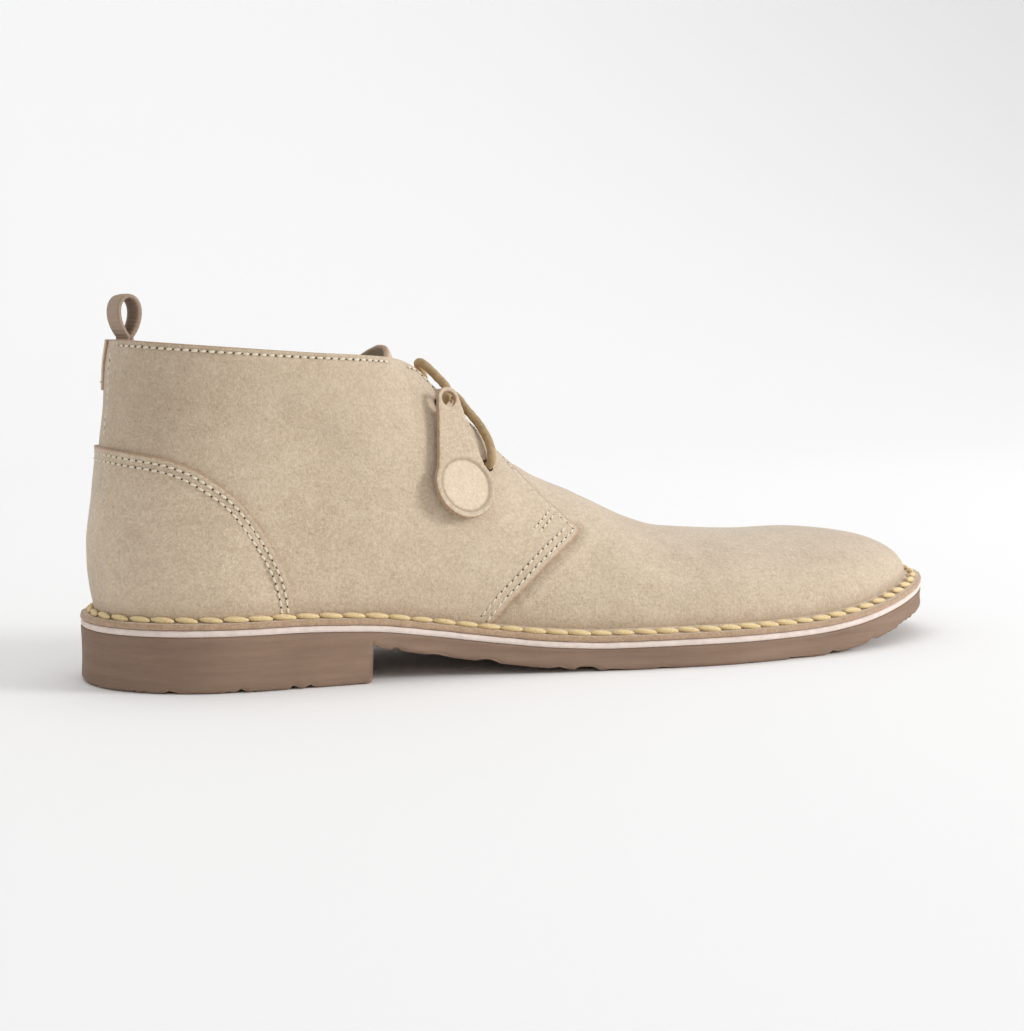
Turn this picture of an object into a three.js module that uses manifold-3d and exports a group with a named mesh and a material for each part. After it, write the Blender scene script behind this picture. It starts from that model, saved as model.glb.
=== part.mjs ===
// Chukka boot for the right foot: a suede upper with its edge turned out and stitched
// down to a midsole layer, on a rubber unit sole with a low heel.
// Millimetres. X runs from the heel to the toe, Y to the inner side of the foot, Z up.
import * as THREE from 'three';
import { mergeVertices } from 'three/addons/utils/BufferGeometryUtils.js';
import Module from 'manifold-3d';

const wasm = await Module();
wasm.setup();

// Main sizes of the boot
const soleLength = 300;
const ballWidth = 90;
const instepHeight = 48;
const backHeight = 83.5;
const backLean = 10;
const heelHeight = 17;
const treadHeight = 7.1;
const toeSpring = 9.9;

// Layers under the foot
const soleMargin = 5;
const midsoleLayer = 2.1;
const flangeLayer = 1.9;
const insoleThickness = 3.2;
const soleEdgeRound = 1.6;
const heelLength = 81.5;
const breastHollow = 3;

// Leather of the upper
const vampWall = 1.7;
const quarterStep = 1.1;
const quarterWall = 2.2;
const overlayWall = 0.9;
const toeNose = 62;
const heelNose = 46;
const toeFall = 52;

// Throat, lacing and trim
const throatWidth = 18;
const throatLength = 39;
const throatRound = 7;
const eyeletBore = 4.4;
const punchReach = 6;
const tongueDrop = 1.6;
const tongueTipDepth = 12;
const laceWidth = 2.8;
const tongueWidth = 48;
const tongueWall = 2.2;
const tongueRise = 2.6;
const tongueBack = 16;
const tongueTuck = 11;
const counterHeight = 51;
const counterLength = 58;
const tabDepth = 15;
const tabLength = 24;
const loopTape = 12;
const tapeWall = 1.3;
const loopHeight = 14;
const loopTail = 11;
const fobLength = 43;
const fobWidth = 20.5;
const fobNeck = 8;
const fobWall = 1.8;
const fobBore = 6.4;

// Clearances
const fit = 0.3;
const insoleFit = 0.5;
const fobFit = 1.2;
const loopFit = 1.1;

// The floor, the level that open bodies end at over the collar, how far cuts reach past the
// boot, the shortest edge that is kept and the step that slopes are measured over
const floorLevel = 0;
const skyLevel = 1.48 * backHeight;
const cutMargin = ballWidth / 2;
const finestEdge = 0.02;
const slopeStep = 0.5;

// Points along an outline, and points along and up a body
const outlineCount = 60;
const skinGrid = [50, 14];
const hollowGrid = [38, 12];
const tongueGrid = [40, 12];

// Plan of the feather line, where the upper meets the sole. Shares: at of the sole's length,
// outer and inner of the ball width, from the axis of the frame.
const plan = [
  { at: 0.0, outer: -0.35, inner: 0.35 },
  { at: 0.1, outer: -0.361, inner: 0.356 },
  { at: 0.2, outer: -0.359, inner: 0.344 },
  { at: 0.3, outer: -0.356, inner: 0.317 },
  { at: 0.4, outer: -0.378, inner: 0.3 },
  { at: 0.5, outer: -0.433, inner: 0.339 },
  { at: 0.593, outer: -0.48, inner: 0.417 },
  { at: 0.667, outer: -0.498, inner: 0.472 },
  { at: 0.727, outer: -0.484, inner: 0.494 },
  { at: 0.793, outer: -0.452, inner: 0.494 },
  { at: 0.86, outer: -0.405, inner: 0.478 },
  { at: 0.927, outer: -0.345, inner: 0.447 },
  { at: 1.0, outer: -0.28, inner: 0.41 },
];

// Line that the two sides of the upper meet on, seen from above. Share: y of the ball width.
const spine = [
  { at: 0.0, y: 0 },
  { at: 0.2, y: 0 },
  { at: 0.333, y: 0.006 },
  { at: 0.5, y: 0.028 },
  { at: 0.667, y: 0.05 },
  { at: 0.833, y: 0.072 },
  { at: 1.0, y: 0.08 },
];

// Top and underside of the rubber. Shares: heel of how much the seat is higher than the
// tread, spring of the toe spring, arch of the heel height, lift of the toe spring.
const soleProfile = [
  { at: 0.0, heel: 1, spring: 0, arch: 0.64, lift: 0 },
  { at: 0.183, heel: 1, spring: 0, arch: 0.64, lift: 0 },
  { at: 0.267, heel: 0.9, spring: 0, arch: 0.625, lift: 0 },
  { at: 0.335, heel: 0.64, spring: 0, arch: 0.44, lift: 0 },
  { at: 0.4, heel: 0.343, spring: 0, arch: 0.24, lift: 0 },
  { at: 0.467, heel: 0.1, spring: 0, arch: 0.08, lift: 0 },
  { at: 0.533, heel: 0, spring: 0, arch: 0.006, lift: 0 },
  { at: 0.58, heel: 0, spring: 0, arch: 0, lift: 0 },
  { at: 0.7, heel: 0, spring: 0, arch: 0, lift: 0 },
  { at: 0.767, heel: 0, spring: 0.03, arch: 0, lift: 0 },
  { at: 0.833, heel: 0, spring: 0.18, arch: 0, lift: 0.14 },
  { at: 0.9, heel: 0, spring: 0.475, arch: 0, lift: 0.46 },
  { at: 0.973, heel: 0, spring: 0.86, arch: 0, lift: 0.88 },
  { at: 1.0, heel: 0, spring: 1, arch: 0, lift: 1.03 },
];

// Ridge along the top of the upper, over the feather line. Share: up of the instep height.
// Behind the instep it climbs far past the collar, so that the sides there stay steep.
const ridge = [
  { at: 0.0, up: 7.9 },
  { at: 0.133, up: 4.77 },
  { at: 0.2, up: 3.52 },
  { at: 0.267, up: 2.45 },
  { at: 0.3, up: 2.04 },
  { at: 0.317, up: 1.89 },
  { at: 0.333, up: 1.77 },
  { at: 0.357, up: 1.66 },
  { at: 0.372, up: 1.58 },
  { at: 0.393, up: 1.475 },
  { at: 0.413, up: 1.37 },
  { at: 0.429, up: 1.29 },
  { at: 0.447, up: 1.19 },
  { at: 0.463, up: 1.126 },
  { at: 0.477, up: 1.087 },
  { at: 0.494, up: 1.031 },
  { at: 0.514, up: 0.983 },
  { at: 0.54, up: 0.925 },
  { at: 0.565, up: 0.855 },
  { at: 0.59, up: 0.78 },
  { at: 0.607, up: 0.733 },
  { at: 0.64, up: 0.664 },
  { at: 0.667, up: 0.63 },
  { at: 0.733, up: 0.585 },
  { at: 0.783, up: 0.563 },
  { at: 0.833, up: 0.535 },
  { at: 0.9, up: 0.48 },
  { at: 1.0, up: 0.4 },
];

// Profile of the back seam and fullness of the sides above the feather line. Shares: up of
// the back height, in of the back lean, full of the width of the feather line.
const backProfile = [
  { up: 0.0, in: 0.53, full: 1.0 },
  { up: 0.04, in: 0.47, full: 1.01 },
  { up: 0.1, in: 0.37, full: 1.022 },
  { up: 0.19, in: 0.3, full: 1.034 },
  { up: 0.27, in: 0.33, full: 1.03 },
  { up: 0.37, in: 0.42, full: 1.015 },
  { up: 0.48, in: 0.535, full: 0.985 },
  { up: 0.56, in: 0.625, full: 0.965 },
  { up: 0.65, in: 0.7, full: 0.95 },
  { up: 0.77, in: 0.84, full: 0.945 },
  { up: 0.91, in: 0.91, full: 0.958 },
  { up: 1.0, in: 1.02, full: 0.97 },
  { up: 1.3, in: 1.3, full: 1.02 },
];

// Roundness of a section across the foot: its crown and its shoulder are two exponents.
const sectionShape = [
  { at: 0.0, crown: 3.0, shoulder: 2.0 },
  { at: 0.2, crown: 3.0, shoulder: 2.0 },
  { at: 0.333, crown: 2.7, shoulder: 2.15 },
  { at: 0.433, crown: 2.1, shoulder: 2.05 },
  { at: 0.533, crown: 1.85, shoulder: 1.95 },
  { at: 0.633, crown: 1.9, shoulder: 2.0 },
  { at: 0.733, crown: 2.0, shoulder: 2.1 },
  { at: 0.833, crown: 2.2, shoulder: 2.2 },
  { at: 1.0, crown: 2.2, shoulder: 2.2 },
];
const heelRoundness = 2.15;
const toeRoundness = 2.5;
const toeCrown = 2.4;
const foreFullness = 0.03;

// Shares of the sole's length: where the hind part turns into the forepart, how far the lean
// of the back seam reaches, and where the throat begins
const foreStart = 0.333;
const foreEnd = 0.617;
const leanReach = 0.37;
const throatStart = 0.333;

// Collar line from the back seam to the top corner of the facing.
// Shares: at of the sole's length, up of the back height over the floor.
const collarLine = [
  { at: -0.2, up: 1.004 },
  { at: 0.036, up: 1.0 },
  { at: 0.063, up: 0.9945 },
  { at: 0.093, up: 0.988 },
  { at: 0.16, up: 0.975 },
  { at: 0.23, up: 0.963 },
  { at: 0.27, up: 0.9575 },
  { at: 0.315, up: 0.948 },
  { at: 0.342, up: 0.933 },
  { at: 0.36, up: 0.908 },
  { at: 0.37, up: 0.88 },
];

// Front edge of the quarter, from the flange up the vamp seam to the throat's corner and on
// along the facing. Shares: at of the sole's length, up of the instep height over the floor.
const quarterFront = [
  { at: 0.378, up: 0.1 },
  { at: 0.4, up: 0.302 },
  { at: 0.424, up: 0.471 },
  { at: 0.443, up: 0.579 },
  { at: 0.462, up: 0.683 },
  { at: 0.484, up: 0.783 },
  { at: 0.505, up: 0.862 },
  { at: 0.5145, up: 0.908 },
  { at: 0.508, up: 0.96 },
  { at: 0.487, up: 1.09 },
  { at: 0.467, up: 1.24 },
  { at: 0.458, up: 1.35 },
  { at: 0.456, up: 2.9 },
];

// Top edge of the counter. Shares: at of the counter's length, up of its height.
const counterEdge = [
  { at: -0.3, up: 1.03 },
  { at: 0.0, up: 1.025 },
  { at: 0.12, up: 1.0 },
  { at: 0.27, up: 0.97 },
  { at: 0.38, up: 0.945 },
  { at: 0.495, up: 0.892 },
  { at: 0.605, up: 0.81 },
  { at: 0.71, up: 0.71 },
  { at: 0.797, up: 0.58 },
  { at: 0.89, up: 0.408 },
  { at: 0.95, up: 0.265 },
  { at: 0.985, up: 0.125 },
  { at: 1.0, up: 0.0 },
];

// Lower edge of the half-moon tab on the inner side of the collar, from the back seam.
// Shares: at of the tab's length, down of its depth.
const tabEdge = [
  { at: -0.3, down: 1.0 },
  { at: 0.2, down: 0.98 },
  { at: 0.45, down: 0.87 },
  { at: 0.68, down: 0.66 },
  { at: 0.86, down: 0.38 },
  { at: 0.96, down: 0.12 },
  { at: 1.0, down: -0.4 },
];

// Lower edges of the tongue in the side view.
// Shares: at of the sole's length, up of the instep height over the floor.
const tongueEdge = [
  { at: 0.27, up: 1.68 },
  { at: 0.333, up: 1.54 },
  { at: 0.417, up: 1.12 },
  { at: 0.52, up: 0.83 },
];

// Smooth curve through the rows of a table, without overshoot.
function through(rows, from, to) {
  const xs = rows.map((row) => row[from]);
  const ys = rows.map((row) => row[to]);
  const slopes = xs.slice(1).map((x, i) => (ys[i + 1] - ys[i]) / (x - xs[i]));
  const tangents = xs.map((x, i) => {
    if (i === 0) return slopes[0];
    if (i === xs.length - 1) return slopes[i - 1];
    const before = slopes[i - 1];
    const after = slopes[i];
    if (before * after <= 0) return 0;
    const a = 2 * (xs[i + 1] - xs[i]) + (xs[i] - xs[i - 1]);
    const b = (xs[i + 1] - xs[i]) + 2 * (xs[i] - xs[i - 1]);
    return (a + b) / (a / before + b / after);
  });
  return (x) => {
    const clamped = THREE.MathUtils.clamp(x, xs[0], xs[xs.length - 1]);
    let i = 0;
    while (i < xs.length - 2 && clamped > xs[i + 1]) i += 1;
    const h = xs[i + 1] - xs[i];
    const t = (clamped - xs[i]) / h;
    const start = (1 + 2 * t) * (1 - t) ** 2 * ys[i] + t * (1 - t) ** 2 * h * tangents[i];
    const end = t * t * (3 - 2 * t) * ys[i + 1] + t * t * (t - 1) * h * tangents[i + 1];
    return start + end;
  };
}

const smooth = THREE.MathUtils.smoothstep;
const outerShare = through(plan, 'at', 'outer');
const innerShare = through(plan, 'at', 'inner');
const spineShare = through(spine, 'at', 'y');
const heelShare = through(soleProfile, 'at', 'heel');
const springShare = through(soleProfile, 'at', 'spring');
const archShare = through(soleProfile, 'at', 'arch');
const liftShare = through(soleProfile, 'at', 'lift');
const ridgeShare = through(ridge, 'at', 'up');
const backShare = through(backProfile, 'up', 'in');
const fullShare = through(backProfile, 'up', 'full');
const crownOf = through(sectionShape, 'at', 'crown');
const shoulderOf = through(sectionShape, 'at', 'shoulder');

// Levels of the layers at a distance x from the back of the sole
const rubberTop = (x) => {
  const at = x / soleLength;
  return treadHeight + (heelHeight - treadHeight) * heelShare(at) + toeSpring * springShare(at);
};
const rubberBottom = (x) => {
  const at = x / soleLength;
  return heelHeight * archShare(at) + toeSpring * liftShare(at);
};
const midsoleTop = (x) => rubberTop(x) + midsoleLayer;
const feather = (x) => midsoleTop(x) + flangeLayer;
const seatLevel = feather(0);
const collarBack = seatLevel + backHeight;

// The upper's own function: how far each side stands from the spine
const bodyBack = soleMargin;
const bodyFront = soleLength - soleMargin;
const spineAt = (x) => ballWidth * spineShare(x / soleLength);
const foreBlend = (x) => smooth(x, foreStart * soleLength, foreEnd * soleLength);

function noseShare(x) {
  const back = THREE.MathUtils.clamp((bodyBack + heelNose - x) / heelNose, 0, 1);
  const front = THREE.MathUtils.clamp((x - bodyFront + toeNose) / toeNose, 0, 1);
  const heelPart = (1 - back ** heelRoundness) ** (1 / heelRoundness);
  return heelPart * (1 - front ** toeRoundness) ** (1 / toeRoundness);
}

function ridgeLevel(x) {
  const fall = THREE.MathUtils.clamp((x - bodyFront + toeFall) / toeFall, 0, 1);
  const rise = instepHeight * ridgeShare(x / soleLength);
  return feather(x) + rise * (1 - fall ** toeCrown) ** (1 / toeCrown);
}

function spread(x, z) {
  const at = x / soleLength;
  const rise = ridgeLevel(x) - feather(x);
  const share = rise > 1e-6 ? THREE.MathUtils.clamp((z - feather(x)) / rise, 0, 1) : 1;
  const arch = (1 - share ** crownOf(at)) ** (1 / shoulderOf(at));
  const rear = fullShare((z - feather(x)) / backHeight);
  const fore = 1 + foreFullness * Math.sin(Math.PI * share ** 0.7);
  return arch * THREE.MathUtils.lerp(rear, fore, foreBlend(x));
}

const lean = (x, z) => {
  const shift = backLean * backShare((z - feather(x)) / backHeight) - bodyBack;
  return shift * (1 - smooth(x, bodyBack, bodyBack + leanReach * soleLength));
};

const sideY = (side, x, z) => {
  const share = side === 'outer' ? outerShare(x / soleLength) : innerShare(x / soleLength);
  const middle = spineAt(x);
  return middle + (ballWidth * share - middle) * noseShare(x) * spread(x, z);
};

// Station whose leaning section passes through the true distance x at height z
function stationFor(x, z) {
  let station = x;
  for (let i = 0; i < 12; i += 1) station = x - lean(station, z);
  return THREE.MathUtils.clamp(station, bodyBack, bodyFront);
}

const outsideY = (side, x, z) => sideY(side, stationFor(x, z), z);

// Height of the upper over a point of the plan
function crownZ(x, y) {
  let low = feather(x);
  let high = Math.min(ridgeLevel(x), skyLevel);
  const side = y < spineAt(x) ? 'outer' : 'inner';
  for (let i = 0; i < 40; i += 1) {
    const z = (low + high) / 2;
    const edge = outsideY(side, x, z);
    const within = side === 'outer' ? edge < y : edge > y;
    if (within) low = z;
    else high = z;
  }
  return (low + high) / 2;
}

function sidePoint(side, x, z) {
  return new THREE.Vector3(x, outsideY(side, x, z), z);
}

function sideNormal(side, x, z) {
  const alongX = sidePoint(side, x + slopeStep, z).sub(sidePoint(side, x - slopeStep, z));
  const alongZ = sidePoint(side, x, z + slopeStep).sub(sidePoint(side, x, z - slopeStep));
  const normal = alongX.cross(alongZ).normalize();
  return side === 'outer' ? normal : normal.negate();
}

function crownPoint(x, y, lift) {
  const at = (u, v) => new THREE.Vector3(u, v, crownZ(u, v));
  const alongX = at(x + slopeStep, y).sub(at(x - slopeStep, y));
  const alongY = at(x, y + slopeStep).sub(at(x, y - slopeStep));
  return at(x, y).addScaledVector(alongX.cross(alongY).normalize(), lift);
}

// Solids from closed triangle lists
function solidOf(geometry) {
  const bare = geometry.clone();
  bare.deleteAttribute('normal');
  bare.deleteAttribute('uv');
  const merged = mergeVertices(bare, 1e-5);
  const triangles = [];
  const index = merged.index.array;
  for (let i = 0; i < index.length; i += 3) {
    const [a, b, c] = [index[i], index[i + 1], index[i + 2]];
    if (a !== b && b !== c && c !== a) triangles.push(a, b, c);
  }
  const vertProperties = new Float32Array(merged.attributes.position.array);
  const mesh = new wasm.Mesh({ numProp: 3, vertProperties, triVerts: new Uint32Array(triangles) });
  return new wasm.Manifold(mesh);
}

function geometryOf(solid) {
  const mesh = solid.simplify(finestEdge).getMesh();
  const geometry = new THREE.BufferGeometry();
  geometry.setAttribute('position', new THREE.BufferAttribute(mesh.vertProperties.slice(), 3));
  geometry.setIndex(new THREE.BufferAttribute(new Uint32Array(mesh.triVerts), 1));
  return geometry;
}

// Distances along the foot, closer together where the heel and the toe turn
function stationsOf(count) {
  const half = (bodyFront - bodyBack) / 2;
  const even = (i) => (i / (count - 1)) * Math.PI;
  return Array.from({ length: count }, (unused, i) => bodyBack + half * (1 - Math.cos(even(i))));
}

// Closed ring of points at one height share: out along the outer side, back along the inner
function ringOf(stations, pointOn) {
  const last = stations.length - 1;
  const out = stations.map((x) => pointOn('outer', x));
  const back = stations.slice(1, last).reverse().map((x) => pointOn('inner', x));
  return out.concat(back);
}

// Stack of rings closed by strips across its bottom and its top
function stackGeometry(rings) {
  const count = rings[0].length;
  const points = rings.flat();
  const index = [];
  rings.slice(1).forEach((ring, row) => {
    ring.forEach((point, i) => {
      const next = (i + 1) % count;
      const low = row * count;
      const high = low + count;
      index.push(low + i, low + next, high + next, low + i, high + next, high + i);
    });
  });
  const strips = (start, flip) => {
    for (let i = 0; i < count / 2; i += 1) {
      const quad = [i, i + 1, count - i - 1, (count - i) % count].map((k) => start + k);
      const [a, b, c, d] = flip ? quad.reverse() : quad;
      index.push(a, b, c, a, c, d);
    }
  };
  strips(0, true);
  strips((rings.length - 1) * count, false);
  const geometry = new THREE.BufferGeometry();
  const flatPoints = points.flatMap((point) => [point.x, point.y, point.z]);
  geometry.setAttribute('position', new THREE.Float32BufferAttribute(flatPoints, 3));
  geometry.setIndex(index);
  return geometry;
}

// Outward direction of the skin at each point of the rings, shared where points coincide
function skinNormals(rings) {
  const key = (p) => [p.x, p.y, p.z].map((v) => Math.round(v * 1e4)).join();
  const sums = new Map();
  rings.flat().forEach((p) => sums.set(key(p), new THREE.Vector3()));
  const triangle = new THREE.Triangle();
  const add = (a, b, c) => {
    triangle.set(a, b, c);
    const area = triangle.getArea();
    if (area < 1e-9) return;
    const normal = triangle.getNormal(new THREE.Vector3()).multiplyScalar(area);
    [a, b, c].forEach((p) => sums.get(key(p)).add(normal));
  };
  rings.slice(1).forEach((ring, row) => {
    ring.forEach((point, i) => {
      const next = (i + 1) % ring.length;
      add(rings[row][i], rings[row][next], ring[next]);
      add(rings[row][i], ring[next], point);
    });
  });
  return rings.map((ring) => ring.map((p) => sums.get(key(p)).clone().normalize()));
}

// Body of the upper's function, grown by a distance that may change along the foot.
// The foot of the body goes straight down by the depth under the feather line.
function body(grow, depth, [stationCount, rowCount]) {
  const stations = stationsOf(stationCount);
  const rings = Array.from({ length: rowCount }, (unused, row) => {
    const share = Math.sin((Math.PI / 2) * (row / (rowCount - 1)));
    return ringOf(stations, (side, x) => {
      const top = Math.min(ridgeLevel(x), skyLevel);
      const z = THREE.MathUtils.lerp(feather(x), top, share);
      return new THREE.Vector3(x + lean(x, z), sideY(side, x, z), z);
    });
  });
  const normals = skinNormals(rings);
  const grown = rings.map((ring, row) => ring.map((p, i) => {
    const moved = p.clone().addScaledVector(normals[row][i], grow(p.x));
    if (row === 0) moved.z = p.z;
    return moved;
  }));
  const foot = grown[0].map((p) => p.clone().setZ(p.z - depth));
  return solidOf(stackGeometry(depth > 0 ? [foot, ...grown] : grown));
}

// Outline of the sole in plan, at a margin from the feather line
function outlineRing(margin, level) {
  const stations = stationsOf(outlineCount);
  const onFeather = (side, x) => new THREE.Vector3(x, sideY(side, x, feather(x)), 0);
  const ring = ringOf(stations, onFeather);
  return ring.map((p, i) => {
    const before = ring[(i + ring.length - 1) % ring.length];
    const after = ring[(i + 1) % ring.length];
    const outward = new THREE.Vector3(after.y - before.y, before.x - after.x, 0).normalize();
    const moved = p.clone().addScaledVector(outward, margin);
    return moved.setZ(level(moved.x));
  });
}

// Prisms for cutting: an outline in the side view carried across, one in plan carried up
// and one in the front view carried along
function prismFrom(points, depth) {
  const shape = new THREE.Shape(points.map(([u, v]) => new THREE.Vector2(u, v)));
  return new THREE.ExtrudeGeometry(shape, { depth, bevelEnabled: false });
}

function sidePrism(points) {
  const geometry = prismFrom(points, ballWidth + 2 * cutMargin);
  geometry.rotateX(Math.PI / 2);
  geometry.translate(0, ballWidth / 2 + cutMargin, 0);
  return solidOf(geometry);
}

function planPrism(points, low, high) {
  const geometry = prismFrom(points, high - low);
  geometry.translate(0, 0, low);
  return solidOf(geometry);
}

function frontPrism(points, back, front) {
  const geometry = prismFrom(points, front - back);
  geometry.rotateX(Math.PI / 2);
  geometry.rotateZ(Math.PI / 2);
  geometry.translate(back, 0, 0);
  return solidOf(geometry);
}

// Points of a table's curve in the side view
const collarPoints = (drop) => {
  const level = through(collarLine, 'at', 'up');
  const first = collarLine[0].at;
  const last = collarLine[collarLine.length - 1].at;
  return Array.from({ length: 25 }, (unused, i) => {
    const at = THREE.MathUtils.lerp(first, last, i / 24);
    return [at * soleLength, collarBack * level(at) - drop];
  });
};

const aboveCollar = (drop) => {
  const line = collarPoints(drop);
  const end = line[line.length - 1][0];
  const start = line[0][0];
  const top = skyLevel + cutMargin;
  return sidePrism([...line, [end + 1, top], [start, top]]);
};

const wallOffset = (x) => {
  const fore = quarterStep + vampWall;
  return THREE.MathUtils.lerp(quarterWall, fore, foreBlend(x));
};

const hollow = body((x) => -wallOffset(x), flangeLayer + fit + vampWall, hollowGrid);

// Rubber unit: a tread with its arch, and the heel block under the seat
function outsole() {
  const low = (margin, rise) => outlineRing(margin, (x) => rubberBottom(x) + rise);
  const tread = solidOf(stackGeometry([
    low(soleMargin - soleEdgeRound, 0),
    low(soleMargin - 0.3 * soleEdgeRound, 0.3 * soleEdgeRound),
    low(soleMargin, soleEdgeRound),
    outlineRing(soleMargin, rubberTop),
  ]));
  const block = (margin, level) => outlineRing(margin, () => level);
  const heelTop = 0.8 * heelHeight;
  const heel = solidOf(stackGeometry([
    block(soleMargin - soleEdgeRound, floorLevel),
    block(soleMargin - 0.3 * soleEdgeRound, 0.3 * soleEdgeRound),
    block(soleMargin, soleEdgeRound),
    block(soleMargin, heelTop),
  ]));
  const breast = Array.from({ length: 13 }, (unused, i) => {
    const across = i / 6 - 1;
    return [heelLength - breastHollow * (1 - across * across), across * 0.5 * ballWidth];
  });
  const behind = [[-cutMargin, breast[12][1]], [-cutMargin, breast[0][1]]];
  return tread.add(heel.intersect(planPrism([...breast, ...behind], -1, heelTop + 1)));
}

// Pale layer between the rubber and the flange
function midsole() {
  return solidOf(stackGeometry([
    outlineRing(soleMargin, (x) => rubberTop(x) + fit),
    outlineRing(soleMargin, midsoleTop),
  ]));
}

// Footbed that lies on the midsole inside the upper
function insole() {
  const margin = -(quarterStep + vampWall + insoleFit);
  const base = (x) => midsoleTop(x) + fit;
  return solidOf(stackGeometry([
    outlineRing(margin, base),
    outlineRing(margin, (x) => base(x) + insoleThickness),
  ]));
}

// Outline of the quarters in the side view
function quarterRegion() {
  const points = quarterFront.map(({ at, up }) => [at * soleLength, up * instepHeight]);
  return sidePrism([...points, [-cutMargin, skyLevel + cutMargin], [-cutMargin, -1]]);
}

// Place beside the spine; on the narrower inner side it is nearer in the same proportion
const aside = (side, x, distance) => {
  const middle = spineAt(x);
  const outerHalf = middle - ballWidth * outerShare(x / soleLength);
  const innerHalf = ballWidth * innerShare(x / soleLength) - middle;
  return side === 'outer' ? middle - distance : middle + (distance * innerHalf) / outerHalf;
};

// Open throat between the facings, with a round end on the vamp.
// Shares: ahead of the throat's length, wide of half its width.
const throatEdge = [
  { ahead: -0.308, wide: 1.6 },
  { ahead: -0.103, wide: 1.3 },
  { ahead: 0.026, wide: 1.1 },
  { ahead: 0.154, wide: 1 },
];
const collarFront = throatStart * soleLength;
const throatFront = collarFront + throatLength;
function throat() {
  const half = throatWidth / 2;
  const side = throatEdge.map(({ ahead, wide }) => [
    collarFront + ahead * throatLength,
    wide * half,
  ]);
  const end = Array.from({ length: 7 }, (unused, i) => {
    const turn = (Math.PI / 2) * (i / 6);
    return [throatFront - throatRound * (1 - Math.sin(turn)), half * Math.cos(turn)];
  });
  const edge = [...side, ...end];
  const outerEdge = edge.map(([x, y]) => [x, aside('outer', x, y)]);
  const innerEdge = edge.slice(0, -1).reverse().map(([x, y]) => [x, aside('inner', x, y)]);
  return planPrism([...outerEdge, ...innerEdge], 0.9 * instepHeight, skyLevel + cutMargin);
}

// Eyelets: two punched holes in each facing. Shares: at of the sole's length, out of the
// ball width.
const eyelets = [
  { at: 0.418, out: 0.25 },
  { at: 0.37, out: 0.185 },
];
const eyeletPlan = (row, side) => {
  const x = eyelets[row].at * soleLength;
  return [x, aside(side, x, eyelets[row].out * ballWidth)];
};

function eyeletHole(row, side) {
  const [x, y] = eyeletPlan(row, side);
  const low = crownPoint(x, y, -punchReach);
  const high = crownPoint(x, y, punchReach);
  const geometry = new THREE.CylinderGeometry(eyeletBore / 2, eyeletBore / 2, 2 * punchReach, 16);
  const up = new THREE.Vector3(0, 1, 0);
  const turn = new THREE.Quaternion().setFromUnitVectors(up, high.clone().sub(low).normalize());
  geometry.applyQuaternion(turn);
  geometry.translate(...low.add(high).multiplyScalar(0.5).toArray());
  return solidOf(geometry);
}

// Upper: vamp and quarters in one hollow wall with its edge turned out as a flange
function upper() {
  const vamp = body(() => -quarterStep, flangeLayer / 2, skinGrid);
  const quarters = body(() => 0, flangeLayer / 2, skinGrid).intersect(quarterRegion());
  const flange = solidOf(stackGeometry([
    outlineRing(soleMargin - fit, (x) => midsoleTop(x) + fit),
    outlineRing(soleMargin - fit, feather),
  ]));
  const holes = eyelets.flatMap((unused, row) => [
    eyeletHole(row, 'outer'),
    eyeletHole(row, 'inner'),
  ]);
  const cuts = [hollow, aboveCollar(0), throat(), ...holes];
  return cuts.reduce((solid, cut) => solid.subtract(cut), vamp.add(quarters).add(flange));
}

// Tongue: the vamp's own leather carried up under the facings to a rounded tip
const tongueTop = collarBack * through(collarLine, 'at', 'up')(0.315) + tongueRise;
function tongue() {
  const near = (x) => smooth(x, throatFront - 2 * throatRound, throatFront);
  const gap = (x) => THREE.MathUtils.lerp(tongueDrop, fit, near(x));
  const outside = body((x) => -wallOffset(x) - gap(x), 0, tongueGrid);
  const inside = body((x) => -wallOffset(x) - gap(x) - tongueWall, 0, tongueGrid);
  const half = tongueWidth / 2;
  const tip = Array.from({ length: 13 }, (unused, i) => {
    const turn = Math.PI * (i / 12);
    return [half * Math.cos(turn), tongueTop - tongueTipDepth * (1 - Math.sin(turn))];
  });
  const face = [...tip, [-half, floorLevel], [half, floorLevel]];
  const reach = frontPrism(face, collarFront - tongueBack, throatFront + tongueTuck);
  const edge = tongueEdge.map(({ at, up }) => [at * soleLength, up * instepHeight]);
  const first = edge[0][0];
  const last = edge[edge.length - 1][0];
  const strip = sidePrism([...edge, [last, skyLevel], [first, skyLevel]]);
  return outside.subtract(inside).intersect(reach).intersect(strip);
}

// Overlay on the quarters, a wall that follows the upper's own function
const overlaid = (region) => {
  const outside = body(() => fit + overlayWall, 0, skinGrid);
  return outside.subtract(body(() => fit, 0, skinGrid)).intersect(region);
};

// Heel counter with its arched top edge
function counter() {
  const edge = counterEdge.map(({ at, up }) => [
    at * counterLength,
    seatLevel + Math.max(up * counterHeight, fit),
  ]);
  const start = edge[0][0];
  return overlaid(sidePrism([...edge, [start, seatLevel + fit]]));
}

// Half-moon tab under the collar, on the inner side of the back seam
function backTab() {
  const lower = tabEdge.map(({ at, down }) => [
    backLean + at * tabLength,
    collarBack - down * tabDepth,
  ]);
  const start = lower[0][0];
  const region = sidePrism([...lower, [start, skyLevel]]);
  const innerSide = planPrism([
    [-cutMargin, fit],
    [soleLength, fit],
    [soleLength, ballWidth],
    [-cutMargin, ballWidth],
  ], 0, skyLevel);
  return overlaid(region).intersect(innerSide).subtract(aboveCollar(fit));
}

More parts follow.
